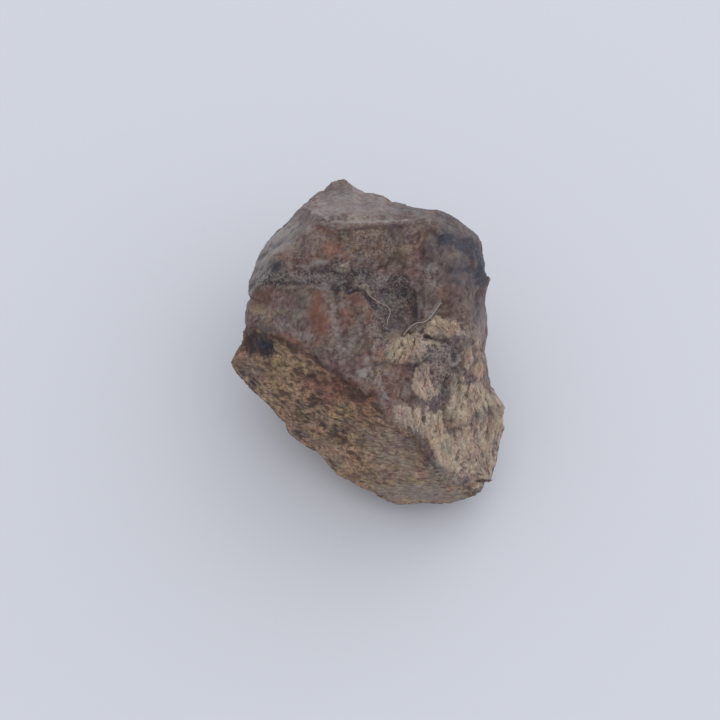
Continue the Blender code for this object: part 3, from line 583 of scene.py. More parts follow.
class Surface:
    """The stone's points, normals and finishes as arrays, in millimetres."""

    def __init__(self, mesh):
        self.mesh = mesh
        self.points = np.empty(len(mesh.vertices) * 3)
        mesh.vertices.foreach_get("co", self.points)
        self.points = self.points.reshape(-1, 3) / MM
        edges = np.empty(len(mesh.edges) * 2, int)
        mesh.edges.foreach_get("vertices", edges)
        self.ends = edges.reshape(-1, 2).T.ravel()
        self.others = edges.reshape(-1, 2)[:, ::-1].T.ravel()
        self.valence = np.bincount(self.ends, minlength=len(self.points))
        self.refresh()
        self.masks = {}

    def refresh(self):
        self.mesh.vertices.foreach_set("co", (self.points * MM).ravel())
        self.mesh.update()
        self.normals = np.empty(len(self.points) * 3)
        self.mesh.vertex_normals.foreach_get("vector", self.normals)
        self.normals = self.normals.reshape(-1, 3)

    def evened(self, values, rounds):
        """Values that are averaged with those of the neighbouring points, round after round."""
        columns = values.reshape(len(self.points), -1).T
        for _ in range(rounds):
            around = [np.bincount(self.ends, column[self.others], len(column)) for column in columns]
            columns = 0.5 * columns + 0.5 * np.array(around) / self.valence
        return columns.T.reshape(values.shape)

    def proud(self, rounds):
        """How far each point stands above the surface round it, in millimetres."""
        return ((self.points - self.evened(self.points, rounds)) * self.normals).sum(axis=1)

    def push(self, height):
        """Moves every point along its normal."""
        self.points += self.normals * height[:, None]
        self.refresh()

    def look(self):
        """Notes how each point is seen from the front."""
        self.right, self.up, self.depth = seen_from_front(self.points)
        to_eye = EYE - self.points
        to_eye /= np.linalg.norm(to_eye, axis=1, keepdims=True)
        self.facing = (self.normals * to_eye).sum(axis=1)
        self.seen = smooth_step(self.facing / GRAZING)

    def tree(self):
        polygons = [list(polygon.vertices) for polygon in self.mesh.polygons]
        return BVHTree.FromPolygons([Vector(p) for p in self.points], polygons)


def patch_mask(surface, tree, patch, soft, ragged):
    """How much each point lies in an oval patch. Small patches have finer borders."""
    right, up, half_width, half_height, turn = patch
    angle = math.radians(turn)
    x, y = surface.right - right, surface.up - up
    along = (x * math.cos(angle) + y * math.sin(angle)) / half_width
    across = (y * math.cos(angle) - x * math.sin(angle)) / half_height
    reach = math.sqrt(half_width * half_height)
    outside = (np.hypot(along, across) - 1) * reach + ragged * min(1, 0.5 * reach) * surface.wobble
    centre, _ = place(tree, right, up)
    depth = (centre - AIM) @ TOWARDS
    near = np.abs(surface.depth - depth) < 3 * max(half_width, half_height) + 2
    return np.clip(0.5 - outside / (2 * soft * min(1, 0.5 * reach + 0.3)), 0, 1) * near * surface.seen


def line_distance(surface, line):
    """How far each point is from a line on the surface, as seen from the front."""
    away = np.full(len(surface.points), np.inf)
    here = np.stack([surface.right, surface.up], axis=1)
    for start, end in zip(line, line[1:]):
        start, end = np.array(start), np.array(end)
        run = end - start
        t = np.clip((here - start) @ run / (run @ run), 0, 1)
        away = np.minimum(away, np.linalg.norm(here - start - t[:, None] * run, axis=1))
    return away


def area_mask(surface, corners, soft, ragged):
    """How much each point lies in a many-sided area."""
    inside = np.zeros(len(surface.points), bool)
    closed = corners + corners[:1]
    for (right, up), (next_right, next_up) in zip(closed, closed[1:]):
        crosses = (up > surface.up) != (next_up > surface.up)
        if up != next_up:
            edge = right + (surface.up - up) / (next_up - up) * (next_right - right)
            inside ^= crosses & (surface.right < edge)
    away = line_distance(surface, closed)
    outside = np.where(inside, -away, away) + ragged * 0.5 * surface.wobble
    return np.clip(0.5 - outside / (2 * soft), 0, 1) * surface.seen


def streak_mask(surface, half_width, line):
    """How much each point lies in a streak."""
    outside = line_distance(surface, line) + 0.5 * surface.wobble - half_width
    return np.clip(0.5 - outside / (1.2 * half_width), 0, 1) * surface.seen


# ------------------------------------------------------------------ the fine surface

def new_object(name, data):
    made = bpy.data.objects.new(name, data)
    bpy.context.scene.collection.objects.link(made)
    return made


def worked_out(maker):
    """The mesh that an object's modifiers or curve make."""
    graph = bpy.context.evaluated_depsgraph_get()
    return bpy.data.meshes.new_from_object(maker.evaluated_get(graph))


def fine_copy(spacing):
    """A closed copy of the solid with many even points and no flat facets."""
    bm = bmesh.new()
    bm.from_mesh(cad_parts[NODE].data)
    bmesh.ops.remove_doubles(bm, verts=bm.verts, dist=0.001 * MM)
    mesh = bpy.data.meshes.new("stone_surface")
    bm.to_mesh(mesh)
    bm.free()
    stone = new_object("stone_surface", mesh)
    remesh = stone.modifiers.new("even_points", "REMESH")
    remesh.mode = "VOXEL"
    remesh.voxel_size = spacing
    smooth = stone.modifiers.new("no_facets", "SMOOTH")
    smooth.factor = 0.5
    smooth.iterations = 10
    fine = worked_out(stone)
    stone.modifiers.clear()
    stone.data = fine
    fine.materials.clear()
    return stone


def crisper(surface):
    """Brings back the sharp edges that the even points have rounded."""
    surface.push(np.clip(0.55 * surface.proud(16), -0.30, 0.40))


def fit_outline(surface):
    """Moves the stone's limb to its outline, as seen from the front. Only the outer fifth moves."""
    full_turn = 2 * math.pi
    surface.look()
    x, y = surface.right - CENTRE[0], surface.up - CENTRE[1]
    angle, reach = np.arctan2(y, x), np.hypot(x, y)
    count = 480
    sector = ((angle / full_turn + 0.5) * count).astype(int) % count
    now = np.zeros(count)
    np.maximum.at(now, sector, reach)
    now = (np.roll(now, 1) + now + np.roll(now, -1)) / 3
    middles = (np.arange(count) + 0.5) / count * full_turn - math.pi
    corners = np.array(OUTLINE) - CENTRE
    shares = np.linspace(0, 1, 12, endpoint=False)[:, None]
    line = np.concatenate([a + shares * (b - a) for a, b in zip(corners, np.roll(corners, -1, axis=0))])
    ways, lengths = np.arctan2(line[:, 1], line[:, 0]), np.hypot(line[:, 0], line[:, 1])
    wanted = np.interp(angle, ways, lengths, period=full_turn)
    limb = np.interp(angle, middles, now, period=full_turn)
    move = (wanted - limb) * smooth_step((reach / limb - 0.8) / 0.18) * (1 - surface.depth / DISTANCE)
    outwards = (x / reach)[:, None] * RIGHT + (y / reach)[:, None] * UP
    surface.points += move[:, None] * outwards
    surface.refresh()


def wall_mask(surface):
    """The broken wall lies below the keel, and goes on under the stone."""
    keel_right, keel_up = np.array(KEEL).T
    below = np.interp(surface.right, keel_right, keel_up) - surface.up - 0.5 * surface.wobble
    turned = surface.normals @ (np.array(WALL_FACING) / np.linalg.norm(WALL_FACING))
    front = smooth_step(0.5 + below / 0.8) * smooth_step(surface.facing / 0.1)
    front *= smooth_step(turned / 0.2 + 0.5)
    hidden = smooth_step(-surface.facing / 0.1) * smooth_step((turned - 0.1) / 0.1)
    return np.maximum(front, hidden)


def paint(surface):
    """Works out where each finish lies."""
    points, masks = surface.points, surface.masks
    surface.look()
    tree = surface.tree()
    surface.wobble = (0.9 * wander(points, 3.1, 31) + 0.6 * wander(points, 1.5, 32)
                      + 0.4 * wander(points, 0.8, 33))
    masks["wall"] = wall_mask(surface)
    surface.lie = lie_field(surface)
    masks["fibre"] = fibres(surface, 0.75, 41)
    masks["strand"] = fibres(surface, 1.5, 42)
    for finish, (soft, ragged) in FINISHES.items():
        mask = np.zeros(len(points))
        for *patch, strength in PATCHES.get(finish, ()):
            mask = np.maximum(mask, strength * patch_mask(surface, tree, patch, soft, ragged))
        for strength, corners in AREAS.get(finish, ()):
            mask = np.maximum(mask, strength * area_mask(surface, corners, soft, ragged))
        for half_width, strength, line in STREAKS.get(finish, ()):
            mask = np.maximum(mask, strength * streak_mask(surface, half_width, line))
        masks[finish] = mask
    surface.hidden = smooth_step(0.5 - surface.facing / 0.2)
    for finish, layers in HIDDEN.items():
        for length, rare, strength, seed in layers:
            level = wander(points, length, seed) + 0.35 * wander(points, 0.4 * length, seed + 20)
            mask = strength * surface.hidden * smooth_step(0.5 + (level - rare) / 0.24)
            masks[finish] = np.maximum(masks[finish], mask)
    masks["splinters"] = np.clip((masks["tan"] - 0.78) / 0.2, 0, 1)


def roughen(surface):
    """Gives the stone its ridges, cracks and blocks, and each finish its own relief."""
    points, tree = surface.points, surface.tree()
    height = 0.35 * wander(points, 4.2, 1) + 0.20 * wander(points, 1.7, 2) + 0.13 * wander(points, 0.85, 3)
    for half_width, rise, line in RIDGES.values():
        away = line_distance(surface, line) + 0.35 * surface.wobble
        height += surface.seen * rise * np.exp(-np.abs(away) / half_width) * (0.8 + 0.5 * surface.wobble)
    for half_width, depth, line in GROOVES.values():
        away = line_distance(surface, line) + 0.3 * surface.wobble
        height -= surface.seen * depth * np.exp(-(away / half_width) ** 2)
    for *patch, rise in BLOCKS.values():
        height += rise * patch_mask(surface, tree, patch, 0.45, 0.9)
    # the hidden sides swell and crease of their own accord
    height += surface.hidden * (0.55 * wander(points, 7.5, 21) + 0.30 * wander(points, 3.0, 22))
    creases = np.abs(wander(points, 6.0, 23)) + 0.25 * np.abs(wander(points, 1.6, 24))
    height -= surface.hidden * 0.35 * np.exp(-(creases / 0.07) ** 2)
    for relief in finish_reliefs(surface):
        height += relief
    surface.push(height)


def finish_reliefs(surface):
    """Fresh breaks are splintered, old faces are plated, the wall is grainy, and the dark patches are eaten
    away, crust and in places painted shade.
    """
    points, masks = surface.points, surface.masks
    settings = bpy.context.scene.stone_settings
    shard, grain = settings.shard / MM, settings.grain / MM
    fresh = surface.evened(masks["tan"], 3)
    flakes = shards(points, shard, (0.7, 1.6, 1.2), 0.16, 0.09, 5)
    chips = shards(points, 0.45 * shard, (0.7, 1.5, 1.1), 0.22, 0.05, 6)
    strands = 0.22 * (masks["fibre"] - 0.5) + 0.30 * (masks["strand"] - 0.5)
    old = (1 - fresh) * (1 - masks["wall"]) * (1 - 0.7 * masks["sheen"])
    plates = shards(points, 2.2 * shard, (1, 1, 1), 0.07, 0.03, 9)
    pits = shards(points, grain, (1.5, 1, 0.8), 0.12, 0.06, 7)
    return (fresh * (0.6 * flakes + 0.5 * chips + strands), old * surface.evened(plates, 1),
            masks["wall"] * surface.evened(pits, 1),
            -masks["dark"] * (0.10 + 0.20 * np.abs(wander(points, 0.9, 8))))


def lie_field(surface):
    """The way that splinters point at each point of the surface, and how far they reach."""
    total = np.zeros((len(surface.points), 3))
    nearest = np.full(len(total), np.inf)
    reach = np.zeros(len(total))
    for right, up, angle, far in LIES:
        away = (surface.right - right) ** 2 + (surface.up - up) ** 2
        way = math.cos(math.radians(angle)) * RIGHT + math.sin(math.radians(angle)) * UP
        total += np.sign(total @ way + 1e-9)[:, None] * way / (away + 0.5)[:, None] ** 1.5
        reach = np.where(away < nearest, far, reach)
        nearest = np.minimum(away, nearest)
    total -= (total * surface.normals).sum(axis=1)[:, None] * surface.normals
    return total / (np.linalg.norm(total, axis=1, keepdims=True) + 1e-9), surface.evened(reach, 8)


def fibres(surface, width, seed):
    """A random level from 0 to 1 that is drawn out along the grain of the stone."""
    ways, reach = surface.lie
    shift = Vector((5.3, 11.1, -7.7)) * seed
    level = np.zeros(len(surface.points))
    for step in np.linspace(-1, 1, 7):
        moved = (surface.points + step * reach[:, None] * ways) / width
        level += np.array([noise.noise(Vector(p) + shift) for p in moved])
    level /= level.std()
    return np.clip(0.5 + 0.22 * level, 0, 1)


def write_masks(surface):
    lie = surface.mesh.attributes.new("lie", "FLOAT_VECTOR", "POINT")
    lie.data.foreach_set("vector", np.ascontiguousarray(surface.lie[0], np.float32).ravel())
    surface.masks["crest"] = np.clip(0.5 + 2.2 * surface.proud(4), 0, 1)
    surface.masks["tint"] = 0.5 + 0.5 * surface.masks["tint"]
    for finish, mask in surface.masks.items():
        layer = surface.mesh.attributes.new(finish, "FLOAT", "POINT")
        layer.data.foreach_set("value", np.ascontiguousarray(mask, np.float32))


# ------------------------------------------------------------------ nodes

def feed(tree, socket, value):
    """Links a socket to another node's, or sets its value."""
    if isinstance(value, bpy.types.NodeSocket):
        tree.links.new(value, socket)
    else:
        socket.default_value = value


def new_node(tree, kind, inputs, **settings):
    """A node with its settings, whose inputs are linked or set."""
    node = tree.nodes.new(kind)
    for title, value in settings.items():
        setattr(node, title, value)
    for socket, value in inputs.items():
        feed(tree, node.inputs[socket], value)
    return node


def maths(tree, operation, *values, clamp=False):
    inputs = dict(enumerate(values))
    return new_node(tree, "ShaderNodeMath", inputs, operation=operation, use_clamp=clamp).outputs[0]


def vector_line(tree, vector, gain, shift):
    """A vector or colour times a gain, plus a shift."""
    inputs = {0: vector, 1: (gain, gain, gain), 2: shift}
    return new_node(tree, "ShaderNodeVectorMath", inputs, operation="MULTIPLY_ADD").outputs[0]


def mixed(tree, share, under, over, blend="MIX"):
    node = new_node(tree, "ShaderNodeMix", {}, data_type="RGBA", blend_type=blend)
    feed(tree, node.inputs["Factor"], share)
    for title, value in (("A", under), ("B", over)):
        socket = next(s for s in node.inputs if s.name == title and s.type == "RGBA")
        feed(tree, socket, value if isinstance(value, bpy.types.NodeSocket) else (*value[:3], 1))
    return next(s for s in node.outputs if s.type == "RGBA")


def noise_at(tree, where, scale, detail, roughness, distortion=0, output="Fac"):
    inputs = {"Vector": where, "Scale": scale, "Detail": detail, "Roughness": roughness,
              "Distortion": distortion}
    return new_node(tree, "ShaderNodeTexNoise", inputs).outputs[output]


def millimetres(tree, turn=(0, 0, 0), stretch=(1, 1, 1)):
    """Object coordinates in millimetres. Each unit is stretched along the turned axes."""
    coordinates = tree.nodes.new("ShaderNodeTexCoord")
    inputs = {"Vector": coordinates.outputs["Object"], "Rotation": [math.radians(angle) for angle in turn],
              "Scale": [MM * unit for unit in stretch]}
    return new_node(tree, "ShaderNodeMapping", inputs, vector_type="TEXTURE").outputs["Vector"]


def cells_at(tree, where):
    """The random level of each cell of a broken pattern with bent borders, and the way to its border."""
    wave = noise_at(tree, where, 1.1, 3, 0.5, output="Color")
    inputs = {"Vector": vector_line(tree, wave, 1.1, where), "Scale": 1}
    cell = new_node(tree, "ShaderNodeTexVoronoi", inputs)
    level = new_node(tree, "ShaderNodeSeparateXYZ", {"Vector": cell.outputs["Color"]})
    border = new_node(tree, "ShaderNodeTexVoronoi", inputs, feature="DISTANCE_TO_EDGE")
    return level.outputs["X"], border.outputs["Distance"]


def ragged_edge_group():
    """Turns a soft mask into a patch with a ragged border."""
    group = bpy.data.node_groups.new("ragged_edge", "ShaderNodeTree")
    for title, default in (("Mask", 0.0), ("Noise", 0.5), ("Raggedness", 0.8), ("Sharpness", 4.0)):
        socket = group.interface.new_socket(title, in_out="INPUT", socket_type="NodeSocketFloat")
        socket.default_value = default
    group.interface.new_socket("Share", in_out="OUTPUT", socket_type="NodeSocketFloat")
    given = group.nodes.new("NodeGroupInput").outputs
    result = group.nodes.new("NodeGroupOutput")
    wobble = maths(group, "SUBTRACT", given["Noise"], 0.5)
    wobble = maths(group, "MULTIPLY", wobble, given["Raggedness"])
    level = maths(group, "ADD", given["Mask"], wobble)
    level = maths(group, "SUBTRACT", level, 0.5)
    level = maths(group, "MULTIPLY", level, given["Sharpness"])
    level = maths(group, "ADD", level, 0.5, clamp=True)
    within = maths(group, "MULTIPLY", given["Mask"], 4, clamp=True)
    level = maths(group, "MULTIPLY", level, within)
    group.links.new(level, result.inputs["Share"])
    return group


# ------------------------------------------------------------------ materials

class StoneFinish:
    """The nodes of the stone's colour, roughness and relief, and the noises that they share."""

    def __init__(self, tree, tints):
        self.tree = tree
        self.tints = tints
        self.ragged = ragged_edge_group()
        self.at = millimetres(tree)
        self.broad = noise_at(tree, self.at, 0.16, 4, 0.6)
        self.middle = noise_at(tree, self.at, 0.55, 5, 0.66)
        self.fine = noise_at(tree, self.at, 1.7, 3, 0.65)
        self.red = noise_at(tree, self.at, 0.33, 4, 0.6, 0.3)
        self.blotch = self.plus(self.times(self.middle, 0.6), self.times(self.fine, 0.4))
        fibre = self.mask("fibre")
        self.drawn = self.plus(self.times(fibre, 0.5), self.times(self.mask("strand"), 0.5))
        flecks = self.drawn_noise(WALL_TURN, (1.5, 1.1, 1), 2, 0.45)
        self.flecks = self.plus(flecks, self.line(self.middle, 0.4, -0.2), self.line(fibre, -0.12, 0.06))
        self.grit = self.drawn_noise(WALL_TURN, (0.62, 0.42, 0.4), 1, 0.5)
        self.stain = self.drawn_noise((20, 0, 50), (1.1, 0.8, 1), 4, 0.65)
        self.grain = self.drawn_noise((30, 0, 30), (0.3, 1, 0.35), 3, 0.65)
        self.wall_share = self.share("wall", self.fine, 0.8, 4)

    def times(self, value, amount):
        return maths(self.tree, "MULTIPLY", value, amount)

    def plus(self, total, *others):
        for other in others:
            total = maths(self.tree, "ADD", total, other)
        return total

    def line(self, value, gain, shift):
        return maths(self.tree, "MULTIPLY_ADD", value, gain, shift)

    def contrast(self, value, centre, gain):
        """Spreads the values round a centre, from 0 to 1. A gain below 0 turns them over."""
        return maths(self.tree, "MULTIPLY_ADD", value, gain, 0.5 - centre * gain, clamp=True)

    def mask(self, name):
        return new_node(self.tree, "ShaderNodeAttribute", {}, attribute_name=name).outputs["Fac"]

    def drawn_noise(self, turn, stretch, detail, roughness):
        """Noise that is drawn out along turned axes, in millimetres."""
        return noise_at(self.tree, millimetres(self.tree, turn, stretch), 1, detail, roughness)

    def share(self, finish, border, raggedness, sharpness, most=1):
        """How much of a finish shows."""
        inputs = {"Mask": self.mask(finish), "Noise": border, "Raggedness": raggedness,
                  "Sharpness": sharpness}
        node = new_node(self.tree, "ShaderNodeGroup", inputs, node_tree=self.ragged)
        return self.times(node.outputs["Share"], most)

    def coated(self, ground, *coats):
        """Lays coats on a ground: a level, its centre and gain, how much shows, and the colour."""
        for level, centre, gain, most, tint in coats:
            ground = mixed(self.tree, self.times(self.contrast(level, centre, gain), most), ground, tint)
        return ground

    def varnish(self):
        """Brown varnish with clay specks, stains and a grey bloom."""
        tints = self.tints
        shade = self.contrast(self.blotch, 0.5, 4.5)
        shade = mixed(self.tree, shade, tints.varnish_dark, tints.varnish_light)
        return self.coated(
            shade, (self.broad, 0.52, 5, 0.4, tints.bloom_and_sheen), (self.drawn, 0.5, 3, 0.22, tints.film_and_highlight),
            (self.drawn, 0.5, -3, 0.3, tints.varnish_dark), (self.red, 0.54, 5, 0.28, tints.rust),
            (self.fine, 0.56, 6, 0.38, tints.yellow), (self.fine, 0.42, -7, 0.3, tints.umber_and_shade),
            (self.stain, 0.55, 5, 0.5, tints.umber_and_shade), (self.stain, 0.43, -6, 0.3, tints.film_and_highlight))

    def wall(self):
        """The tan ground of the broken wall, with brown stains."""
        tints = self.tints
        return self.coated(
            tints.wall_light, (self.broad, 0.48, 4, 0.4, tints.wall_stain),
            (self.grit, 0.52, 6, 0.38, tints.wall_stain), (self.middle, 0.5, 5, 0.34, tints.wall_stain))

    def wall_specks(self):
        """Where the broken wall has its dark specks."""
        large = self.times(self.contrast(self.flecks, 0.53, 5), 0.8)
        small = self.times(self.contrast(self.grit, 0.57, 5), 0.46)
        return self.times(maths(self.tree, "MAXIMUM", large, small), self.wall_share)

    def grey_bloom(self):
        """Grey bloom with lines along the wall's grain."""
        tints = self.tints
        lines = self.drawn_noise(WALL_TURN, (1.9, 0.42, 0.42), 3, 0.7)
        grey = mixed(self.tree, self.contrast(self.flecks, 0.5, 5), tints.grey, tints.varnish_light)
        return self.coated(
            grey, (lines, 0.47, -9, 0.7, tints.wall_stain), (lines, 0.54, 9, 0.45, tints.tan_light))

    def sheen_streaked_bloom(self):
        """Grey bloom, with painted sheen streaks along the slope and another way on the flank."""
        tints = self.tints
        across = new_node(self.tree, "ShaderNodeSeparateXYZ", {"Vector": self.at}).outputs["X"]
        on_slope = self.contrast(across, -9, 0.3)
        on_flank = maths(self.tree, "SUBTRACT", 1, on_slope)
        slope_grain = self.drawn_noise((0, 0, -4), (4.5, 0.6, 0.6), 3, 0.6)
        flank_grain = self.drawn_noise((0, -21, 47), (4.5, 0.5, 0.5), 3, 0.6)
        streaks = self.plus(self.times(slope_grain, on_slope), self.times(flank_grain, on_flank))
        bloom = self.plus(
            self.times(self.drawn, 0.4), self.times(self.contrast(self.broad, 0.5, 3), 0.3),
            self.times(self.contrast(streaks, 0.5, 4), 0.3))
        bloom_and_sheen = mixed(self.tree, self.contrast(bloom, 0.62, 2.4), tints.bloom_and_sheen, tints.film_and_highlight)
        return self.coated(bloom_and_sheen, (streaks, 0.45, -7, 0.55, tints.varnish_dark))

    def fresh_break(self, cast):
        """Pale splinters that lie in two directions, with weaker changes of hue than the rest."""
        tree, tints = self.tree, self.tints
        steep, steep_gap = cells_at(tree, millimetres(tree, (30, 0, 13), (0.55, 1.9, 0.8)))
        leaning, leaning_gap = cells_at(tree, millimetres(tree, (30, 0, 55), (0.55, 1.7, 0.8)))
        turned = self.contrast(noise_at(tree, self.at, 0.35, 2, 0.5), 0.5, 14)
        splinter = new_node(tree, "ShaderNodeMix", {0: turned, 2: steep, 3: leaning}).outputs[0]
        gap = maths(tree, "MINIMUM", steep_gap, leaning_gap)
        level = self.plus(
            self.times(splinter, 0.2), self.times(self.contrast(self.grain, 0.5, 5), 0.3),
            self.times(self.contrast(self.drawn, 0.5, 2.4), 0.4),
            self.times(self.contrast(self.middle, 0.5, 5), 0.25),
            self.line(self.mask("tint"), 0.7, -0.35), self.times(self.mask("splinters"), 0.12))
        stained = self.drawn_noise((0, 0, 15), (2, 2.6, 2), 3, 0.6)
        pale = mixed(tree, self.contrast(level, 0.5, 2.1), tints.tan_dark, tints.tan_light)
        pale = self.coated(
            pale, (self.red, 0.52, 6, 0.25, tints.peach), (stained, 0.52, 9, 0.45, tints.grey),
            (stained, 0.42, -9, 0.4, tints.varnish_light), (gap, 0.03, -20, 0.28, tints.umber_and_shade))
        soft_cast = vector_line(tree, cast, 0.75, (0.24, 0.24, 0.245))
        return mixed(tree, 1, pale, soft_cast, blend="MULTIPLY")

    def rubble(self, ground):
        """The ground under the crumbs is speckled light and dark."""
        grains = noise_at(self.tree, self.at, 2.4, 2, 0.55)
        rubble = maths(self.tree, "MULTIPLY", self.mask("crumbs"), 1.8, clamp=True)
        for centre, gain, most, tint in ((0.57, 9, 0.62, self.tints.film_and_highlight), (0.43, -9, 0.5, self.tints.dark)):
            specks = self.times(self.contrast(grains, centre, gain), most)
            ground = mixed(self.tree, self.times(specks, rubble), ground, tint)
        return ground

    def colour(self):
        """Every finish, laid one over the other."""
        tree, tints, blotch = self.tree, self.tints, self.blotch
        umber_and_shade = self.share("umber_and_shade", blotch, 2.6, 1.3, 0.8)
        peach = self.share("peach", blotch, 2.6, 1.5, 0.6)
        shade = mixed(tree, self.wall_share, self.varnish(), self.wall())
        shade = mixed(tree, self.share("yellow", blotch, 3, 1.3, 0.65), shade, tints.yellow)
        shade = mixed(tree, self.share("rust", blotch, 1.8, 1.2, 0.85), shade, tints.rust)
        # red-brown stain, and painted shade beside the keel's right end
        shade = mixed(tree, umber_and_shade, shade, tints.umber_and_shade)
        shade = mixed(tree, peach, shade, tints.peach)
        shade = mixed(tree, self.wall_specks(), shade, tints.wall_dark)
        shade = mixed(tree, self.share("grey", blotch, 1.7, 1.3, 0.68), shade, self.grey_bloom())
        # grey bloom, and painted sheen on the far slope and the upper left flank
        shade = mixed(tree, self.share("bloom_and_sheen", blotch, 1.8, 1.7, 0.6), shade, self.sheen_streaked_bloom())
        # slow changes of hue: redder here, greener there
        hue = noise_at(tree, self.at, 0.26, 3, 0.55, output="Color")
        cast = vector_line(tree, hue, 0.42, (0.805, 0.8, 0.805))
        shade = mixed(tree, 1, shade, cast, blend="MULTIPLY")
        border = self.plus(self.times(blotch, 0.4), self.times(self.stain, 0.6))
        tan = self.share("tan", border, 2.8, 2.2)
        shade = mixed(tree, tan, shade, self.fresh_break(cast))
        shade = mixed(tree, self.times(self.times(umber_and_shade, 0.6), tan), shade, tints.varnish_dark)
        shade = mixed(tree, self.times(peach, tan), shade, tints.peach)
        # blue-black crust, partly painted shade on the ledge, along the keel's right end and the lower left
        # edge
        shade = mixed(tree, self.share("dark", blotch, 2.4, 1.3, 0.88), shade, tints.dark)
        # pale lime coating, with painted highlights and painted sheen streaks on the brow, the ledge's lip,
        # the slope and the flank
        shade = mixed(tree, self.share("film_and_highlight", blotch, 2.2, 1.2, 0.68), shade, tints.film_and_highlight)
        shade = self.rubble(shade)
        # crests are paler, and the hollows between them darker
        crest = self.mask("crest")
        return self.coated(
            shade, (crest, 0.68, 3.5, 0.3, tints.film_and_highlight), (crest, 0.34, -3.5, 0.55, tints.umber_and_shade))

    def roughness(self):
        rough = self.plus(
            self.line(self.mask("sheen"), -0.06, 0.5), self.times(self.mask("tan"), 0.25),
            self.times(self.wall_share, 0.16))
        return maths(self.tree, "ADD", rough, self.line(self.fine, 0.3, -0.15), clamp=True)

    def relief(self):
        """Fine relief in millimetres. The sheen is smoother than the rest."""
        tiny = noise_at(self.tree, self.at, 3.8, 2, 0.6)
        height = self.plus(self.times(self.fine, 0.46), self.times(tiny, 0.32))
        height = self.times(height, self.line(self.mask("sheen"), -0.75, 1))
        return self.plus(
            height, self.times(self.times(self.grain, 0.5), self.mask("tan")),
            self.times(self.times(self.grit, 0.3), self.wall_share))


def stone_material():
    material = bpy.data.materials.new("stone_surface")
    material.use_nodes = True
    tree = material.node_tree
    shader = tree.nodes["Principled BSDF"]
    finish = StoneFinish(tree, bpy.context.scene.stone_settings)
    feed(tree, shader.inputs["Base Color"], finish.colour())
    feed(tree, shader.inputs["Roughness"], finish.roughness())
    shader.inputs["Specular IOR Level"].default_value = 0.42
    bump = new_node(tree, "ShaderNodeBump", {"Distance": MM, "Height": finish.relief()})
    feed(tree, shader.inputs["Normal"], bump.outputs["Normal"])
    return material


def plain_material(name, tint, roughness):
    material = bpy.data.materials.new(name)
    material.use_nodes = True
    shader = material.node_tree.nodes["Principled BSDF"]
    shader.inputs["Base Color"].default_value = (*tint, 1)
    shader.inputs["Roughness"].default_value = roughness
    return material


# ------------------------------------------------------------------ splinters and crumbs

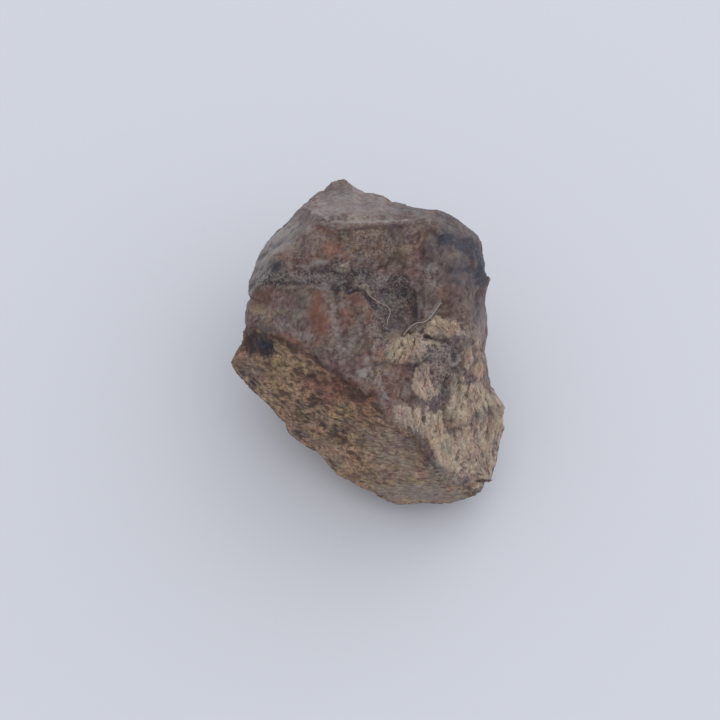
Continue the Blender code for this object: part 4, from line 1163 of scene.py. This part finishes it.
def scatter_tree(name):
    """Geometry Nodes that strew small rough chips over a surface where a mask allows."""
    tree = bpy.data.node_groups.new(name, "GeometryNodeTree")
    sockets = (
        ("Surface", "Geometry"), ("Mask", "String"), ("Chips per m2", "Float"), ("Gap", "Float"),
        ("Chip size", "Vector"), ("Turn spread", "Vector"), ("Roughness", "Float"), ("Seed", "Int"),
        ("Material", "Material"))
    for title, kind in sockets:
        tree.interface.new_socket(title, in_out="INPUT", socket_type="NodeSocket" + kind)
    tree.interface.new_socket("Chips", in_out="OUTPUT", socket_type="NodeSocketGeometry")
    given = tree.nodes.new("NodeGroupInput").outputs
    result = tree.nodes.new("NodeGroupOutput")

    def node(kind, inputs, **settings):
        return new_node(tree, kind, inputs, **settings)

    def random(kind, seed_shift, low, high):
        seed = maths(tree, "ADD", given["Seed"], float(seed_shift))
        first, output = {"FLOAT": (2, 1), "FLOAT_VECTOR": (0, 0)}[kind]
        made = node("FunctionNodeRandomValue", {"Seed": seed, first: low, first + 1: high}, data_type=kind)
        return made.outputs[output]

    def scaled(vector, amount):
        return node("ShaderNodeVectorMath", {0: vector, "Scale": amount}, operation="SCALE").outputs[0]

    mask = node("GeometryNodeInputNamedAttribute", {"Name": given["Mask"]}, data_type="FLOAT")
    spread = node(
        "GeometryNodeDistributePointsOnFaces",
        {"Mesh": given["Surface"], "Distance Min": given["Gap"], "Density Max": given["Chips per m2"],
         "Density Factor": mask.outputs[0], "Seed": given["Seed"]},
        distribute_method="POISSON")
    chip = node("GeometryNodeMeshIcoSphere", {"Radius": 0.5, "Subdivisions": 1})
    shape = node("GeometryNodeTransform", {"Geometry": chip.outputs["Mesh"], "Scale": given["Chip size"]})
    lie = node("GeometryNodeInputNamedAttribute", {"Name": "lie"}, data_type="FLOAT_VECTOR")
    lying = node(
        "FunctionNodeAlignRotationToVector",
        {"Rotation": spread.outputs["Rotation"], "Vector": lie.outputs[0]}, axis="X", pivot_axis="Z")
    loose = random("FLOAT_VECTOR", 1, scaled(given["Turn spread"], -1.0), given["Turn spread"])
    turned = node("FunctionNodeRotateRotation", {0: lying.outputs[0], 1: loose}, rotation_space="LOCAL")
    sizes = random("FLOAT_VECTOR", 2, (0.45, 0.5, 0.6), (1.5, 1.4, 1.3))
    strewn = node(
        "GeometryNodeInstanceOnPoints",
        {"Points": spread.outputs["Points"], "Instance": shape.outputs[0], "Rotation": turned.outputs[0],
         "Scale": sizes})
    tint = node(
        "GeometryNodeStoreNamedAttribute",
        {"Geometry": strewn.outputs[0], "Name": "tint", "Value": random("FLOAT", 3, 0.0, 1.0)},
        data_type="FLOAT", domain="INSTANCE")
    solid = node("GeometryNodeRealizeInstances", {"Geometry": tint.outputs[0]})
    where = scaled(node("GeometryNodeInputPosition", {}).outputs[0], 1 / MM)
    uneven = node("ShaderNodeTexNoise", {"Vector": where, "Scale": 1.9})
    centred = node(
        "ShaderNodeVectorMath", {0: uneven.outputs["Color"], 1: (0.5, 0.5, 0.5)}, operation="SUBTRACT")
    offset = scaled(centred.outputs[0], given["Roughness"])
    moved = node("GeometryNodeSetPosition", {"Geometry": solid.outputs[0], "Offset": offset})
    coat = node("GeometryNodeSetMaterial", {"Geometry": moved.outputs[0], "Material": given["Material"]})
    tree.links.new(coat.outputs[0], result.inputs["Chips"])
    return tree


def strew(name, inputs):
    """Strews chips on the stone as a mesh of their own, where the mask of that name allows."""
    stone = bpy.data.objects["stone_surface"]
    tree = bpy.data.node_groups.get("strewn_chips") or scatter_tree("strewn_chips")
    holder = new_object(name + "_holder", stone.data)
    modifier = holder.modifiers.new("strewn_chips", "NODES")
    modifier.node_group = tree
    inputs = {"Mask": name, "Material": stone.data.materials[0], **inputs}
    for item in tree.interface.items_tree:
        if item.item_type == "SOCKET" and item.in_out == "INPUT" and item.name in inputs:
            modifier[item.identifier] = inputs[item.name]
    mesh = worked_out(holder)
    mesh.name = name
    holder.modifiers.clear()
    bpy.data.objects.remove(holder)
    if not mesh.polygons:
        raise RuntimeError(f"no chips were strewn for {name}")
    chips = new_object(name, mesh)
    # no chip goes through the sheet
    corners = np.empty(len(mesh.vertices) * 3)
    mesh.vertices.foreach_get("co", corners)
    corners[2::3] = np.maximum(corners[2::3], 0)
    mesh.vertices.foreach_set("co", corners)
    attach(chips, BODY)


# ------------------------------------------------------------------ threads and stage

def lay_thread(name, line, tree, lint):
    """A lint thread that runs over the stone through the places of a line."""
    curve = bpy.data.curves.new(name, "CURVE")
    curve.dimensions = "3D"
    curve.bevel_depth = THREAD_RADIUS * MM
    curve.bevel_resolution = 2
    curve.resolution_u = 8
    curve.use_fill_caps = True
    spline = curve.splines.new("BEZIER")
    spline.bezier_points.add(len(line) - 1)
    for knot, (right, up) in zip(spline.bezier_points, line):
        point, normal = place(tree, right, up)
        knot.co = Vector(point + THREAD_LIFT * normal) * MM
        knot.handle_left_type = knot.handle_right_type = "AUTO"
    holder = new_object(name + "_curve", curve)
    mesh = worked_out(holder)
    bpy.data.objects.remove(holder)
    thread = new_object(name, mesh)
    mesh.materials.clear()
    mesh.materials.append(lint)
    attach(thread, BODY)


def lay_sheet(settings):
    """A wide pale sheet under the stone."""
    half = settings.sheet_size / 2
    mesh = bpy.data.meshes.new("sheet")
    corners = [(-half, -half, 0), (half, -half, 0), (half, half, 0), (-half, half, 0)]
    mesh.from_pydata(corners, [], [(0, 1, 2, 3)])
    sheet = new_object("sheet", mesh)
    mesh.materials.append(plain_material("sheet", settings.sheet, 0.9))


def light_room(settings):
    """Soft light from all round, which is stronger from its bright side."""
    world = bpy.data.worlds.new("room")
    bpy.context.scene.world = world
    world.use_nodes = True
    tree = world.node_tree
    sky = tree.nodes["Background"]
    where = tree.nodes.new("ShaderNodeTexCoord").outputs["Generated"]
    inputs = {0: where, 1: Vector(BRIGHT_SIDE).normalized()}
    side = new_node(tree, "ShaderNodeVectorMath", inputs, operation="DOT_PRODUCT").outputs["Value"]
    share = maths(tree, "POWER", maths(tree, "MULTIPLY_ADD", side, 0.5, 0.5, clamp=True), 2)
    level = maths(tree, "MULTIPLY_ADD", share, settings.sky_bright - settings.sky_dim, settings.sky_dim)
    sky.inputs["Color"].default_value = (0.94, 0.97, 1, 1)
    tree.links.new(level, sky.inputs["Strength"])


def hang_window(settings):
    """A wide soft lamp behind the stone, turned towards it."""
    lamp = bpy.data.lights.new("window", "AREA")
    lamp.shape = "DISK"
    lamp.size = 1.0
    lamp.energy = settings.lamp_power
    lamp.color = (1.0, 0.98, 0.96)
    window = new_object("window", lamp)
    window.location = WINDOW_AT
    window.rotation_euler = Vector(WINDOW_AT).to_track_quat("Z", "Y").to_euler()


def set_camera():
    """The camera looks down at the stone from the front."""
    eye = bpy.data.cameras.new("camera")
    eye.lens = LENS
    eye.sensor_width = SENSOR
    eye.clip_start = 0.01
    camera = new_object("camera", eye)
    camera.location = Vector(EYE) * MM
    camera.rotation_euler = (math.radians(90 - LOOK_DOWN), 0, 0)
    bpy.context.scene.camera = camera


# ------------------------------------------------------------------ operators

class METEORITE_OT_stone(bpy.types.Operator):
    """Make the stone's fine surface from its solid"""
    bl_idname = "meteorite.stone"
    bl_label = "Stone"

    def execute(self, context):
        stone = fine_copy(context.scene.stone_settings.point_spacing)
        surface = Surface(stone.data)
        crisper(surface)
        fit_outline(surface)
        paint(surface)
        roughen(surface)
        fit_outline(surface)
        # no point goes through the sheet
        surface.points[:, 2] = np.maximum(surface.points[:, 2], 0)
        surface.refresh()
        write_masks(surface)
        stone.data.materials.append(stone_material())
        stone.data.shade_smooth()
        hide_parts(NODE)
        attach(stone, BODY)
        return {"FINISHED"}


class METEORITE_OT_splinters(bpy.types.Operator):
    """Strew splinters on the fresh breaks"""
    bl_idname = "meteorite.splinters"
    bl_label = "Splinters"

    def execute(self, context):
        length = context.scene.stone_settings.splinter
        strew("splinters", {
            "Chips per m2": 2.5e6, "Gap": 0.32 * length, "Chip size": (length, 0.28 * length, 0.10 * length),
            "Turn spread": (0.4, 0.12, 0.30), "Roughness": 0.12 * length, "Seed": 3})
        return {"FINISHED"}


class METEORITE_OT_crumbs(bpy.types.Operator):
    """Strew crumbs along the ledge and in the hollows"""
    bl_idname = "meteorite.crumbs"
    bl_label = "Crumbs"

    def execute(self, context):
        across = context.scene.stone_settings.crumb
        strew("crumbs", {
            "Chips per m2": 5e6, "Gap": 0.7 * across, "Chip size": (across, 0.7 * across, 0.5 * across),
            "Turn spread": (0.8, 0.8, 3.1), "Roughness": 0.5 * across, "Seed": 8})
        return {"FINISHED"}


class METEORITE_OT_threads(bpy.types.Operator):
    """Lay the two lint threads on the stone"""
    bl_idname = "meteorite.threads"
    bl_label = "Threads"

    def execute(self, context):
        tree = Surface(bpy.data.objects["stone_surface"].data).tree()
        lint = plain_material("lint", srgb(170, 157, 148), 0.8)
        for name, line in THREADS.items():
            lay_thread(name, line, tree, lint)
        return {"FINISHED"}


class METEORITE_OT_stage(bpy.types.Operator):
    """Set the sheet, the lights and the camera"""
    bl_idname = "meteorite.stage"
    bl_label = "Stage"

    def execute(self, context):
        settings = context.scene.stage_settings
        context.scene.view_settings.view_transform = "Standard"
        lay_sheet(settings)
        light_room(settings)
        hang_window(settings)
        set_camera()
        return {"FINISHED"}


class METEORITE_PT_panel(bpy.types.Panel):
    """Lists the steps that build the scene"""
    bl_label = "Meteorite"
    bl_idname = "METEORITE_PT_panel"
    bl_space_type = "VIEW_3D"
    bl_region_type = "UI"
    bl_category = "Meteorite"

    def draw(self, context):
        for step in STEPS:
            self.layout.operator(step.bl_idname)


STEPS = (METEORITE_OT_stone, METEORITE_OT_splinters, METEORITE_OT_crumbs, METEORITE_OT_threads,
         METEORITE_OT_stage)
CLASSES = (StoneSettings, StageSettings, *STEPS, METEORITE_PT_panel)


def register():
    for item in CLASSES:
        bpy.utils.register_class(item)
    bpy.types.Scene.stone_settings = bpy.props.PointerProperty(type=StoneSettings)
    bpy.types.Scene.stage_settings = bpy.props.PointerProperty(type=StageSettings)


def unregister():
    del bpy.types.Scene.stage_settings
    del bpy.types.Scene.stone_settings
    for item in reversed(CLASSES):
        bpy.utils.unregister_class(item)


def main():
    register()
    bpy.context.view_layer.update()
    bpy.ops.meteorite.stone()
    bpy.ops.meteorite.splinters()
    bpy.ops.meteorite.crumbs()
    bpy.ops.meteorite.threads()
    bpy.ops.meteorite.stage()


if __name__ == "__main__":
    main()
